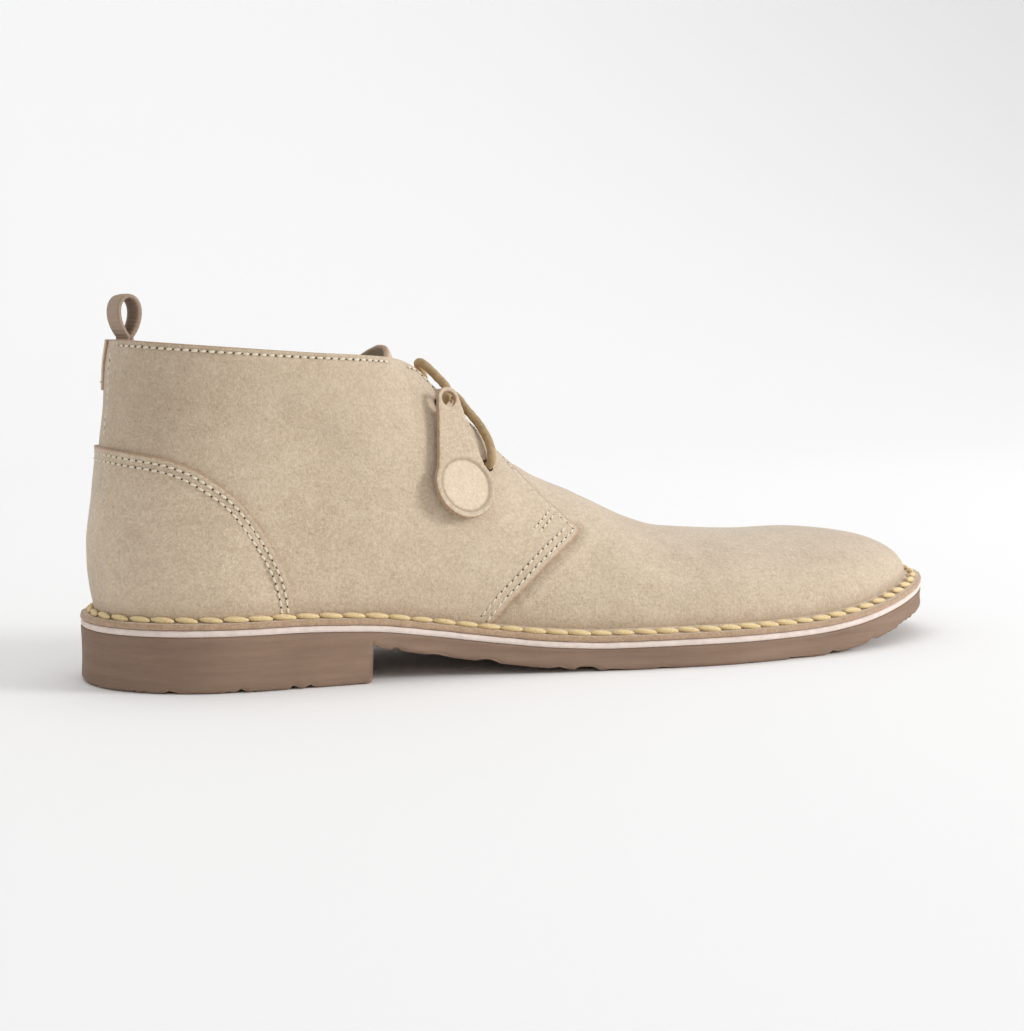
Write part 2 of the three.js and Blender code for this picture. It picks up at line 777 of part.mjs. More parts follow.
// Pull loop: a tape folded to a drop-shaped eye, its ends sewn inside the back of the collar
function pullLoop() {
  const seat = backLean * backShare(1) + quarterWall + loopFit;
  const middle = seat + tapeWall;
  const eye = (low, high, half) => Array.from({ length: 28 }, (unused, i) => {
    const turn = 2 * Math.PI * (i / 28);
    const swell = (Math.sin(turn) * Math.abs(Math.sin(turn / 2)) ** 0.6) / 0.84;
    return [middle + half * swell, low + (high - low) * 0.5 * (1 - Math.cos(turn))];
  });
  const half = 0.27 * loopHeight;
  const top = collarBack + loopHeight;
  const outside = eye(collarBack - fit, top, half);
  const opening = eye(collarBack + 1.2 * tapeWall, top - tapeWall, half - tapeWall);
  const ends = [
    [middle - tapeWall, collarBack + tapeWall],
    [middle - tapeWall, collarBack - loopTail],
    [middle + tapeWall, collarBack - loopTail],
    [middle + tapeWall, collarBack + tapeWall],
  ];
  const width = planPrism([
    [-cutMargin, -loopTape / 2],
    [cutMargin, -loopTape / 2],
    [cutMargin, loopTape / 2],
    [-cutMargin, loopTape / 2],
  ], 0, skyLevel + cutMargin);
  const folded = sidePrism(outside).add(sidePrism(ends)).subtract(sidePrism(opening));
  return folded.intersect(width);
}

// Laces: a round cord through points placed over the upper's function.
// Each point: lace widths ahead of the eyelet, share of its distance aside, lace widths over
// the skin.
function strand(points) {
  const path = new THREE.CatmullRomCurve3(points, false, 'centripetal');
  const section = new THREE.Shape();
  section.absarc(0, 0, laceWidth / 2, 0, 2 * Math.PI);
  const options = { steps: 26, bevelEnabled: false, extrudePath: path, curveSegments: 4 };
  return solidOf(new THREE.ExtrudeGeometry(section, options));
}

const laced = (row, side, points) => points.map(([ahead, share, lift]) => {
  const [eyeletX, eyeletY] = eyeletPlan(row, side);
  const x = eyeletX + ahead * laceWidth;
  const y = spineAt(x) + share * (eyeletY - spineAt(eyeletX));
  return crownPoint(x, y, lift * laceWidth);
});

function laceCrossing() {
  const [eyeletX] = eyeletPlan(0, 'outer');
  const slotHalf = (side) => Math.abs(aside(side, eyeletX, throatWidth / 2) - spineAt(eyeletX));
  const route = (side, far, over) => {
    const out = Math.abs(eyeletPlan(0, side)[1] - spineAt(eyeletX));
    const dip = (0.75 * laceWidth - slotHalf(far)) / out;
    return laced(0, side, [
      [0, 1, -0.5],
      [0, 1, 0.9],
      [0.2, 0.78, 0.9],
      [-0.15, 0.5, 0.85],
      [-1.1, 0.25, 0.85],
      [-2.15, 0.02, over],
      [-3.1, 0.65 * dip, 0.6],
      [-3.6, dip, -0.1],
    ]);
  };
  return strand(route('outer', 'inner', 1.2)).add(strand(route('inner', 'outer', 0.3)));
}

function laceTopBar() {
  const half = (side) => laced(1, side, [
    [0, 1, -0.5],
    [0, 1, 1.2],
    [0.57, 0.76, 1.4],
    [0.21, 0.42, 1.2],
    [-1.2, 0.16, 1.1],
  ]);
  return strand([...half('outer'), ...half('inner').reverse()]);
}

// Leather fob that hangs from the top lace against the outer quarter
const fobContact = { at: 0.369, up: 1.34 };
function fob() {
  const x = fobContact.at * soleLength;
  const z = fobContact.up * instepHeight;
  const out = sideNormal('outer', x, z);
  const up = new THREE.Vector3(0, 0, 1).addScaledVector(out, -out.z).normalize();
  const right = up.clone().cross(out);
  const contact = sidePoint('outer', x, z).addScaledVector(out, fobFit);
  const eyelet = crownPoint(...eyeletPlan(1, 'outer'), 0);
  const above = eyelet.clone().sub(contact);
  const hole = contact.clone().add(above.clone().addScaledVector(out, -above.dot(out)));

  const disc = fobWidth / 2;
  const neck = fobNeck / 2;
  const discDrop = fobLength - disc - neck;
  const shape = new THREE.Shape();
  shape.absarc(0, -discDrop, disc, 0.2 * Math.PI, 0.8 * Math.PI, true);
  shape.quadraticCurveTo(-1.1 * neck, -0.42 * discDrop, -neck, 0);
  shape.absarc(0, 0, neck, Math.PI, 0, true);
  shape.quadraticCurveTo(1.1 * neck, -0.42 * discDrop, disc * 0.81, -discDrop + 0.59 * disc);
  const bore = new THREE.Path();
  bore.absarc(0, 0, fobBore / 2, 0, 2 * Math.PI);
  shape.holes.push(bore);
  const options = { depth: fobWall, bevelEnabled: false, curveSegments: 10 };
  const geometry = new THREE.ExtrudeGeometry(shape, options);
  geometry.applyMatrix4(new THREE.Matrix4().makeBasis(right, up, out).setPosition(hole));
  return solidOf(geometry);
}

// Assembly, moved so that its footprint is centred on the origin
const suede = { color: 0xc9b597, roughness: 0.95, metalness: 0 };
const pieces = [
  { name: 'outsole', make: outsole, look: { color: 0x7d6a5b, roughness: 0.75, metalness: 0 } },
  { name: 'midsole', make: midsole, look: { color: 0xe6dad8, roughness: 0.8, metalness: 0 } },
  { name: 'insole', make: insole, look: { color: 0xbfa27c, roughness: 0.8, metalness: 0 } },
  { name: 'upper', make: upper, look: suede },
  { name: 'tongue', make: tongue, look: suede },
  { name: 'counter', make: counter, look: suede },
  { name: 'back_tab', make: backTab, look: suede },
  { name: 'pull_loop', make: pullLoop, look: { color: 0xa38c78, roughness: 0.9, metalness: 0 } },
  { name: 'lace_crossing', make: laceCrossing, look: { color: 0xc0a176, roughness: 0.7, metalness: 0 } },
  { name: 'lace_top_bar', make: laceTopBar, look: { color: 0xc0a176, roughness: 0.7, metalness: 0 } },
  { name: 'fob', make: fob, look: suede },
];

const boot = new THREE.Group();
for (const { name, make, look } of pieces) {
  const mesh = new THREE.Mesh(geometryOf(make()), new THREE.MeshStandardMaterial(look));
  mesh.name = name;
  boot.add(mesh);
}
const footprint = new THREE.Box3().setFromObject(boot.children[0]);
const middle = footprint.getCenter(new THREE.Vector3());
boot.position.set(-middle.x, -middle.y, floorLevel);

export default boot;
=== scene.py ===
"""Visible model of a suede chukka boot for the right foot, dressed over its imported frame."""
import math

import bmesh
import bpy
import numpy as np
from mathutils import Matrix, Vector
from mathutils.geometry import delaunay_2d_cdt


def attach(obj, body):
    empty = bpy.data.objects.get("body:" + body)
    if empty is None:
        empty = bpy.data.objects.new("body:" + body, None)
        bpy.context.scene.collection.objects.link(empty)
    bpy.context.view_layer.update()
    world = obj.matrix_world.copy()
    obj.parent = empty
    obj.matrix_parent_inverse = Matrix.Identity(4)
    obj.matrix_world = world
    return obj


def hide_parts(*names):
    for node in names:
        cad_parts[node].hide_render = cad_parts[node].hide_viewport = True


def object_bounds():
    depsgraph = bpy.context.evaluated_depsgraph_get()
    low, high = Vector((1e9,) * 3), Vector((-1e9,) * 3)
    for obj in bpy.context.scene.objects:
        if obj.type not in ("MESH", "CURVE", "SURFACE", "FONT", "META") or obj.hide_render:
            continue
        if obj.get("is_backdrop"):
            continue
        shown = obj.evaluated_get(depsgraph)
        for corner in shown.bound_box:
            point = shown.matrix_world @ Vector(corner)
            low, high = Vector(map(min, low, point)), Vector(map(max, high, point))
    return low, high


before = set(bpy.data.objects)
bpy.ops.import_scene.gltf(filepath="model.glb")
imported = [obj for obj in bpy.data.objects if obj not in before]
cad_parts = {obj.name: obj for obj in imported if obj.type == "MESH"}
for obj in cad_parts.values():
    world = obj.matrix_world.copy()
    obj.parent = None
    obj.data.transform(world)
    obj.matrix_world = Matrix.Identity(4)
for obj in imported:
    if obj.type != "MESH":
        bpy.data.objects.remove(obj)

bl_info = {
    "name": "Chukka boot",
    "version": (1, 0, 0),
    "blender": (4, 5, 0),
    "location": "View3D > Sidebar > Boot",
    "description": "Builds the visible pieces of a suede chukka boot over its frame",
    "category": "Object",
}

MM = 0.001
OUTER = -1
INNER = 1

# Tables of the boot's form. The first column is the share of the sole's length, unless a
# heading says otherwise; the others are shares of the size that the heading names.

# Plan of the feather line: outer and inner side, of the ball width
PLAN = (
    (0.0, -0.35, 0.35), (0.1, -0.361, 0.356), (0.2, -0.359, 0.344), (0.3, -0.356, 0.317),
    (0.4, -0.378, 0.3), (0.5, -0.433, 0.339), (0.593, -0.48, 0.417), (0.667, -0.498, 0.472),
    (0.727, -0.484, 0.494), (0.793, -0.452, 0.494), (0.86, -0.405, 0.478),
    (0.927, -0.345, 0.447), (1.0, -0.28, 0.41),
)
# Line that the two sides meet on, of the ball width
SPINE = (
    (0.0, 0), (0.2, 0), (0.333, 0.006), (0.5, 0.028), (0.667, 0.05), (0.833, 0.072), (1.0, 0.08),
)
# Sole from the side: seat over tread, toe spring of the top, arch of the heel height, lift
SOLE_PROFILE = (
    (0.0, 1, 0, 0.64, 0), (0.183, 1, 0, 0.64, 0), (0.267, 0.9, 0, 0.625, 0),
    (0.335, 0.64, 0, 0.44, 0), (0.4, 0.343, 0, 0.24, 0), (0.467, 0.1, 0, 0.08, 0),
    (0.533, 0, 0, 0.006, 0), (0.58, 0, 0, 0, 0), (0.7, 0, 0, 0, 0), (0.767, 0, 0.03, 0, 0),
    (0.833, 0, 0.18, 0, 0.14), (0.9, 0, 0.475, 0, 0.46), (0.973, 0, 0.86, 0, 0.88),
    (1.0, 0, 1, 0, 1.03),
)
# Ridge of the upper over the feather line, of the instep height
RIDGE = (
    (0.0, 7.9), (0.133, 4.77), (0.2, 3.52), (0.267, 2.45), (0.3, 2.04), (0.317, 1.89),
    (0.333, 1.77), (0.357, 1.66), (0.372, 1.58), (0.393, 1.475), (0.413, 1.37), (0.429, 1.29),
    (0.447, 1.19), (0.463, 1.126), (0.477, 1.087), (0.494, 1.031), (0.514, 0.983),
    (0.54, 0.925), (0.565, 0.855), (0.59, 0.78), (0.607, 0.733), (0.64, 0.664), (0.667, 0.63),
    (0.733, 0.585), (0.783, 0.563), (0.833, 0.535), (0.9, 0.48), (1.0, 0.4),
)
# Back seam and fullness of the sides. First column: share of the back height
BACK = (
    (0.0, 0.53, 1.0), (0.04, 0.47, 1.01), (0.1, 0.37, 1.022), (0.19, 0.3, 1.034),
    (0.27, 0.33, 1.03), (0.37, 0.42, 1.015), (0.48, 0.535, 0.985), (0.56, 0.625, 0.965),
    (0.65, 0.7, 0.95), (0.77, 0.84, 0.945), (0.91, 0.91, 0.958), (1.0, 1.02, 0.97),
    (1.3, 1.3, 1.02),
)
# Exponents of a section across the foot: crown and shoulder
SECTION = (
    (0.0, 3.0, 2.0), (0.2, 3.0, 2.0), (0.333, 2.7, 2.15), (0.433, 2.1, 2.05),
    (0.533, 1.85, 1.95), (0.633, 1.9, 2.0), (0.733, 2.0, 2.1), (0.833, 2.2, 2.2),
    (1.0, 2.2, 2.2),
)
# Collar line, of its height at the back
COLLAR = (
    (-0.2, 1.004), (0.036, 1.0), (0.063, 0.9945), (0.093, 0.988), (0.16, 0.975), (0.23, 0.963),
    (0.27, 0.9575), (0.315, 0.948), (0.342, 0.933), (0.36, 0.908), (0.37, 0.88),
)
# Seam of the quarter on the vamp up to the throat's corner, and the facing above it, both of
# the instep height over the floor
VAMP_SEAM = (
    (0.374, 0.2), (0.4, 0.302), (0.424, 0.471), (0.443, 0.579), (0.462, 0.683), (0.484, 0.783),
    (0.505, 0.862), (0.5145, 0.908),
)
FACING_FOOT = ((0.5145, 0.908), (0.508, 0.96), (0.487, 1.09), (0.467, 1.24), (0.456, 1.36))
# Top edge of the counter. Shares of its length and of its height over the feather line
COUNTER_EDGE = (
    (0.0, 1.025), (0.12, 1.0), (0.27, 0.97), (0.38, 0.945), (0.495, 0.892), (0.605, 0.81),
    (0.71, 0.71), (0.797, 0.58), (0.89, 0.408), (0.95, 0.265), (0.985, 0.125), (1.0, 0.0),
)
# Lower edge of the tab. Shares of its length and of its depth under the collar
TAB_EDGE = (
    (0.0, 1.0), (0.2, 0.98), (0.45, 0.87), (0.68, 0.66), (0.86, 0.38), (0.96, 0.12), (1.0, 0.0),
)
# Ends of the short bar of stitches behind the throat's corner, as for the vamp's seam
BAR = ((0.483, 1.035), (0.459, 0.935))
# Eyelets, lower and upper: place along the sole, and beside the spine of the ball width
EYELETS = ((0.418, 0.25), (0.37, 0.185))
# Distances of the counter's two stitch rows from its edge, in millimetres
COUNTER_ROWS = (1.8, 3.8)
# Soft dents of the worn suede on the outer side. Side view in shares of the sole's length and
# of the collar's height at the back, then depth and half-width in millimetres
DENTS = (
    (((0.10, 0.90), (0.17, 0.80), (0.24, 0.62)), 0.35, 9.0),
    (((0.22, 0.72), (0.29, 0.60), (0.36, 0.47)), 0.45, 7.0),
    (((0.33, 0.86), (0.35, 0.72), (0.36, 0.62)), 0.4, 6.0),
    (((0.27, 0.33), (0.34, 0.36), (0.42, 0.33)), 0.4, 8.0),
    (((0.05, 0.84), (0.12, 0.82), (0.2, 0.85)), -0.3, 7.0),
)
# The same for the vamp: where the foot bends
VAMP_DENTS = (
    (((0.56, 0.52), (0.6, 0.42), (0.62, 0.28)), 0.45, 6.0),
    (((0.64, 0.46), (0.67, 0.34), (0.67, 0.2)), 0.35, 6.5),
    (((0.52, 0.3), (0.56, 0.24), (0.6, 0.17)), 0.35, 5.0),
)
# Swell of each part's surface: height and length of a wave in millimetres, and its seed
SWELLS = {
    "quarter": ((0.28, 42, 5),), "vamp": ((0.25, 38, 9),),
    "counter": ((0.3, 30, 21), (0.12, 12, 4)), "tongue": ((0.15, 16, 3),),
}
# Suede of each part: its place in the noise, and its shade, a brightness factor. The counter's
# lighter suede, which the tab shares, is painted light for the floor's light on the counter's low,
# bulging face
SUEDES = {"quarter": (0.1, 1.0), "vamp": (0.7, 1.0), "counter": (1.3, 1.07), "fob": (2.1, 1.03)}

# Lengths in millimetres that several pieces share
MERGE_GAP = 0.002  # points closer than this become one
FOOT_LIFT = 0.4  # lower edge of the quarters over the feather line
CALM_RISE = 6.0  # height over which waves and dents fade in
OVERLAY_LIFT = 0.12  # gap under the counter
TAB_LIFT = 0.15  # gap under the tab
SKIN_GAP = 0.02  # gap between a quarter and its lining
# Counts of points
RIM_STEPS = 5  # round a cut edge
SOLE_COLUMNS = 300  # along one side of the sole
HEEL_COLUMNS = 110  # of these, along the heel block
TREAD_COLUMNS = 49  # across the tread


def size(millimetres, words):
    """A length of the boot as a property, in metres."""
    return bpy.props.FloatProperty(
        name=words, description=words, default=millimetres * MM, unit="LENGTH", precision=5
    )


def colour(red, green, blue, words):
    """A colour of the boot as a property, from its sRGB shares of 255."""
    linear = [((value / 255 + 0.055) / 1.055) ** 2.4 for value in (red, green, blue)]
    return bpy.props.FloatVectorProperty(
        name=words, description=words, default=linear, subtype="COLOR", size=3, min=0, max=1
    )


class BootSizes(bpy.types.PropertyGroup):
    """Sizes of the boot."""

    sole_length: size(300, "Length of the sole")
    ball_width: size(90, "Width of the feather line at the ball")
    instep_height: size(48, "Height that the ridge over the foot is a share of")
    back_height: size(83.5, "Height of the back seam over the feather line")
    back_lean: size(10, "Lean of the back seam towards the toe")
    heel_height: size(17, "Height of the seat over the floor")
    tread_height: size(7.1, "Thickness of the rubber under the ball")
    toe_spring: size(9.9, "Rise of the toe over the floor")
    sole_margin: size(5, "Distance that the sole stands out past the feather line")
    midsole_layer: size(2.1, "Thickness of the pale layer")
    flange_layer: size(1.9, "Thickness of the suede turned out on the pale layer")
    insole_thickness: size(3.2, "Thickness of the footbed")
    edge_round: size(1.6, "Rounding of the rubber's lower edge")
    heel_length: size(81.5, "Length of the heel block")
    breast_hollow: size(3, "Hollow of the heel's front face")
    quarter_step: size(1.1, "Step from the quarter down to the vamp")
    vamp_wall: size(1.7, "Thickness of the vamp")
    quarter_wall: size(2.2, "Thickness of the quarter with its lining")
    overlay_wall: size(0.9, "Thickness of the counter and the tab")
    heel_nose: size(46, "Length that the heel's round end takes")
    toe_nose: size(62, "Length that the toe's round end takes")
    toe_fall: size(52, "Length that the toe's top falls over")
    throat_width: size(18, "Width of the slot between the facings")
    throat_length: size(39, "Length of the slot from the collar to its round end")
    eyelet_bore: size(4.4, "Diameter of a punched hole")
    lace_width: size(2.8, "Diameter of the lace")
    tongue_width: size(48, "Width of the tongue")
    tongue_wall: size(2.2, "Thickness of the tongue")
    tongue_rise: size(2.6, "Height of the tongue's tip over the collar")
    tongue_tip: size(12, "Depth of the tongue's round tip")
    tongue_drop: size(1.6, "Gap between the facings and the tongue")
    counter_height: size(51, "Height of the counter over the feather line")
    counter_length: size(58, "Length of the counter")
    tab_depth: size(15, "Depth of the half-moon tab")
    tab_length: size(24, "Length of the half-moon tab")
    loop_tape: size(12, "Width of the pull loop's tape")
    tape_wall: size(1.3, "Thickness of the tape")
    loop_height: size(14, "Height of the pull loop over the collar")
    fob_length: size(43, "Length of the fob")
    fob_width: size(20.5, "Diameter of the fob's disc")
    fob_wall: size(1.8, "Thickness of the fob")
    fob_neck: size(8, "Width of the fob's neck")
    fob_bore: size(6.4, "Diameter of the fob's hole")
    row_pitch: size(2.55, "Pitch of the stitches on the upper")
    welt_pitch: size(7.3, "Pitch of the stitches on the flange")
    mesh_step: size(0.85, "Distance between the points of the fine skins")


class BootColours(bpy.types.PropertyGroup):
    """Colours of the boot."""

    suede_light: colour(224, 206, 181, "Brushed suede")
    suede_dark: colour(176, 154, 128, "Suede in the shade of its nap")
    raw_edge: colour(196, 160, 128, "Cut edge of the suede")
    lining: colour(178, 158, 134, "Lining")
    rubber_light: colour(160, 134, 114, "Rubber, worn places")
    rubber_dark: colour(118, 94, 78, "Rubber")
    midsole: colour(240, 224, 214, "Pale layer")
    welt_thread: colour(244, 218, 166, "Thread on the flange")
    row_thread: colour(241, 229, 206, "Thread on the upper")
    lace: colour(186, 158, 118, "Waxed lace")
    tape: colour(168, 145, 125, "Ribbed tape")
    # Painted shade: the dark colour put in the stitch holes and under the lace at each eyelet
    hole: colour(92, 70, 50, "Inside of a stitch hole")
    floor: colour(250, 250, 250, "Floor")


def smooth(x, low, high):
    """Smooth step from 0 at low to 1 at high."""
    share = np.clip((x - low) / (high - low), 0, 1)
    return share * share * (3 - 2 * share)


def unit(vectors):
    """Vectors of length one."""
    length = np.linalg.norm(vectors, axis=-1, keepdims=True)
    return vectors / np.maximum(length, 1e-12)


def bell(distance, width):
    """Bell curve over a distance, 1 in its middle."""
    return np.exp(-((distance / width) ** 2))


def run_of(points):
    """Length along a line up to each of its points."""
    return np.concatenate(([0], np.cumsum(np.linalg.norm(np.diff(points, axis=0), axis=1))))


def sampled(values, run, at):
    """The values of a line, given at the lengths run, taken at other lengths along it."""
    return np.stack([np.interp(at, run, values[:, k]) for k in range(values.shape[1])], -1)


def through(table, column):
    """Smooth curve through the rows of a table, without overshoot."""
    xs = np.array([row[0] for row in table], float)
    ys = np.array([row[column] for row in table], float)
    gaps = np.diff(xs)
    slopes = np.diff(ys) / gaps
    tangents = np.concatenate(([slopes[0]], np.zeros(len(xs) - 2), [slopes[-1]]))
    before, after = slopes[:-1], slopes[1:]
    same = before * after > 0
    early = 2 * gaps[1:] + gaps[:-1]
    late = gaps[1:] + 2 * gaps[:-1]
    mean = (early + late)[same] / (early[same] / before[same] + late[same] / after[same])
    tangents[1:-1][same] = mean

    def value(x):
        x = np.clip(x, xs[0], xs[-1])
        i = np.clip(np.searchsorted(xs, x) - 1, 0, len(xs) - 2)
        gap = gaps[i]
        t = (x - xs[i]) / gap
        start = (1 + 2 * t) * (1 - t) ** 2 * ys[i] + t * (1 - t) ** 2 * gap * tangents[i]
        return start + t * t * (3 - 2 * t) * ys[i + 1] + t * t * (t - 1) * gap * tangents[i + 1]

    return value


class Last:
    """The upper's own function, in millimetres from the back of the sole.

    A place on a side is (w, z): w is the root of the distance from the back end, negative on
    the outer side, and z the height over the floor.
    """

    heel_roundness = 2.15
    toe_roundness = 2.5
    toe_crown = 2.4
    fore_fullness = 0.03
    fore_start, fore_full = 0.333, 0.617
    lean_reach = 0.37

    def __init__(self, sizes):
        for name in BootSizes.__annotations__:
            setattr(self, name, getattr(sizes, name) / MM)
        self.outer_share = through(PLAN, 1)
        self.inner_share = through(PLAN, 2)
        self.spine_share = through(SPINE, 1)
        self.heel_share, self.spring_share, self.arch_share, self.lift_share = (
            through(SOLE_PROFILE, column) for column in (1, 2, 3, 4)
        )
        self.ridge_share = through(RIDGE, 1)
        self.back_share, self.full_share = through(BACK, 1), through(BACK, 2)
        self.crown, self.shoulder = through(SECTION, 1), through(SECTION, 2)
        self.collar_share = through(COLLAR, 1)
        self.back = self.sole_margin
        self.front = self.sole_length - self.sole_margin
        self.seat = float(self.feather(0.0))
        self.collar_back = self.seat + self.back_height
        around = self.outline(np.linspace(0, 2 * np.pi, 721), self.sole_margin)
        self.middle = (around.min(axis=0) + around.max(axis=0)) / 2

    def place(self, points):
        """Points in the row frame, in metres."""
        return (np.asarray(points, float) - [self.middle[0], self.middle[1], 0]) * MM

    def rubber_top(self, x):
        at = x / self.sole_length
        rise = (self.heel_height - self.tread_height) * self.heel_share(at)
        return self.tread_height + rise + self.toe_spring * self.spring_share(at)

    def rubber_bottom(self, x):
        at = x / self.sole_length
        return self.heel_height * self.arch_share(at) + self.toe_spring * self.lift_share(at)

    def midsole_top(self, x):
        return self.rubber_top(x) + self.midsole_layer

    def feather(self, x):
        return self.midsole_top(x) + self.flange_layer

    def spine(self, x):
        return self.ball_width * self.spine_share(x / self.sole_length)

    def fore(self, x):
        """0 where the quarters' own section holds, 1 where the vamp's does."""
        return smooth(x, self.fore_start * self.sole_length, self.fore_full * self.sole_length)

    def nose(self, x):
        back = np.clip((self.back + self.heel_nose - x) / self.heel_nose, 0, 1)
        front = np.clip((x - self.front + self.toe_nose) / self.toe_nose, 0, 1)
        heel = (1 - back ** self.heel_roundness) ** (1 / self.heel_roundness)
        return heel * (1 - front ** self.toe_roundness) ** (1 / self.toe_roundness)

    def ridge(self, x):
        fall = np.clip((x - self.front + self.toe_fall) / self.toe_fall, 0, 1)
        rise = self.instep_height * self.ridge_share(x / self.sole_length)
        return self.feather(x) + rise * (1 - fall ** self.toe_crown) ** (1 / self.toe_crown)

    def spread(self, x, z):
        at = x / self.sole_length
        rise = self.ridge(x) - self.feather(x)
        share = np.clip((z - self.feather(x)) / np.maximum(rise, 1e-6), 0, 1)
        arch = (1 - share ** self.crown(at)) ** (1 / self.shoulder(at))
        rear = self.full_share((z - self.feather(x)) / self.back_height)
        fore = 1 + self.fore_fullness * np.sin(np.pi * share ** 0.7)
        blend = self.fore(x)
        return arch * (rear * (1 - blend) + fore * blend)

    def lean(self, x, z):
        shift = self.back_lean * self.back_share((z - self.feather(x)) / self.back_height)
        reach = self.back + self.lean_reach * self.sole_length
        return (shift - self.back) * (1 - smooth(x, self.back, reach))

    def side_y(self, sign, x, z):
        at = x / self.sole_length
        share = np.where(sign < 0, self.outer_share(at), self.inner_share(at))
        middle = self.spine(x)
        return middle + (self.ball_width * share - middle) * self.nose(x) * self.spread(x, z)

    def station(self, x, z):
        """Station whose leaning section passes through the true distance x at height z."""
        station = x
        for _ in range(12):
            station = x - self.lean(station, z)
        return np.clip(station, self.back, self.front)

    def on(self, w, z):
        """Points of the skin at (w, z)."""
        x = np.clip(self.back + w * w, self.back, self.front)
        y = self.side_y(np.sign(w), x, z)
        return np.stack(np.broadcast_arrays(x + self.lean(x, z), y, z), axis=-1)

    def facts(self, w, z):
        """Points, outward normals and both slopes of the skin at (w, z)."""
        dw, dz = 0.06, 0.4
        along = (self.on(w + dw, z) - self.on(w - dw, z)) / (2 * dw)
        up = (self.on(w, z + dz) - self.on(w, z - dz)) / (2 * dz)
        return self.on(w, z), unit(np.cross(up, along)), along, up

    def w_of(self, sign, x, z):
        """The w of the true distance x at height z on a side."""
        return sign * np.sqrt(np.maximum(self.station(x, z) - self.back, 0))

    def crown_z(self, x, y):
        """Height of the skin over a point of the plan."""
        x, y = np.broadcast_arrays(np.asarray(x, float), np.asarray(y, float))
        low = self.feather(x)
        high = np.minimum(self.ridge(x), self.back_height + 40)
        sign = np.where(y < self.spine(x), OUTER, INNER)
        for _ in range(36):
            z = (low + high) / 2
            edge = self.side_y(sign, self.station(x, z), z)
            within = np.where(sign < 0, edge < y, edge > y)
            low = np.where(within, z, low)
            high = np.where(within, high, z)
        return (low + high) / 2

    def over(self, x, y, lift):
        """Points over the skin at a point of the plan, lifted along its normal."""
        step = 0.5
        at = lambda u, v: np.stack([u, v, self.crown_z(u, v)], axis=-1)
        x, y = np.broadcast_arrays(np.asarray(x, float), np.asarray(y, float))
        along = at(x + step, y) - at(x - step, y)
        aside = at(x, y + step) - at(x, y - step)
        normal = unit(np.cross(along, aside))
        return at(x, y) + normal * np.asarray(lift, float)[..., None], normal

    def aside(self, sign, x, distance):
        """The y at a distance beside the spine, less on the narrower inner side."""
        spine = self.spine(x)
        at = x / self.sole_length
        outer = spine - self.ball_width * self.outer_share(at)
        inner = self.ball_width * self.inner_share(at) - spine
        return spine + np.where(sign < 0, -distance, distance * inner / outer)

    def outline(self, theta, margin):
        """Outline of the feather line in plan at a margin, theta 0 at the back end."""
        def ring(angle):
            x = (self.back + self.front) / 2 - (self.front - self.back) / 2 * np.cos(angle)
            sign = np.where(np.sin(angle) >= 0, OUTER, INNER)
            return np.stack([x, self.side_y(sign, x, self.feather(x))], axis=-1)
        step = 0.012
        tangent = unit(ring(theta + step) - ring(theta - step))
        outward = np.stack([tangent[..., 1], -tangent[..., 0]], axis=-1)
        return ring(theta) + outward * np.asarray(margin)[..., None]

    def wall_of(self, x):
        """Thickness of the wall at a distance from the back."""
        blend = self.fore(x)
        return self.quarter_wall * (1 - blend) + (self.quarter_step + self.vamp_wall) * blend


def placed(name, data):
    """A new object of the scene that holds the data given."""
    made = bpy.data.objects.new(name, data)
    bpy.context.scene.collection.objects.link(made)
    return made


def make_mesh(last, name, points, quads, marks=None):
    """A mesh object from points in millimetres and four-sided faces, its doubles merged."""
    data = bpy.data.meshes.new(name)
    points = last.place(np.asarray(points, float).reshape(-1, 3))
    quads = np.asarray(quads, np.int32).reshape(-1, 4)
    data.vertices.add(len(points))
    data.vertices.foreach_set("co", points.ravel())
    data.loops.add(quads.size)
    data.loops.foreach_set("vertex_index", quads.ravel())
    data.polygons.add(len(quads))
    data.polygons.foreach_set("loop_start", np.arange(0, quads.size, 4, dtype=np.int32))
    for mark, values in (marks or {}).items():
        layer = data.attributes.new(mark, "FLOAT", "POINT")
        layer.data.foreach_set("value", np.asarray(values, np.float32).ravel())
    data.update(calc_edges=True)
    data.validate()
    work = bmesh.new()
    work.from_mesh(data)
    bmesh.ops.remove_doubles(work, verts=work.verts, dist=MERGE_GAP * MM)
    bmesh.ops.dissolve_degenerate(work, edges=work.edges, dist=1e-7)
    bmesh.ops.recalc_face_normals(work, faces=work.faces)
    work.to_mesh(data)
    work.free()
    data.polygons.foreach_set("use_smooth", np.ones(len(data.polygons), dtype=bool))
    data.update()
    return placed(name, data)


def grid_quads(rows, columns, wrap=False, start=0):
    """Faces of a grid of points."""
    last = columns if wrap else columns - 1
    i, j = np.meshgrid(np.arange(rows - 1), np.arange(last), indexing="ij")
    near, far, following = i * columns, (i + 1) * columns, (j + 1) % columns
    quads = np.stack([near + j, far + j, far + following, near + following], -1)
    return start + quads.reshape(-1, 4)


def capped_quads(rows, columns):
    """Faces of a grid closed round its columns, with both end rows capped."""
    half = np.arange(columns // 2 - 1)
    cap = np.stack([half, half + 1, columns - 2 - half, columns - 1 - half], -1)
    return np.concatenate([grid_quads(rows, columns, wrap=True), cap, (rows - 1) * columns + cap])


def grid_loop(rows, columns):
    """Rows and columns of the points round a grid's edge, in order."""
    i = [*range(rows), *[rows - 1] * (columns - 1), *range(rows - 2, -1, -1), *[0] * (columns - 2)]
    j = [*[0] * rows, *range(1, columns), *[columns - 1] * (rows - 1), *range(columns - 2, 0, -1)]
    return np.array(i), np.array(j)


def band(low, high):
    """Faces between two closed loops of points."""
    return np.stack([low, np.roll(low, -1), np.roll(high, -1), high], -1)


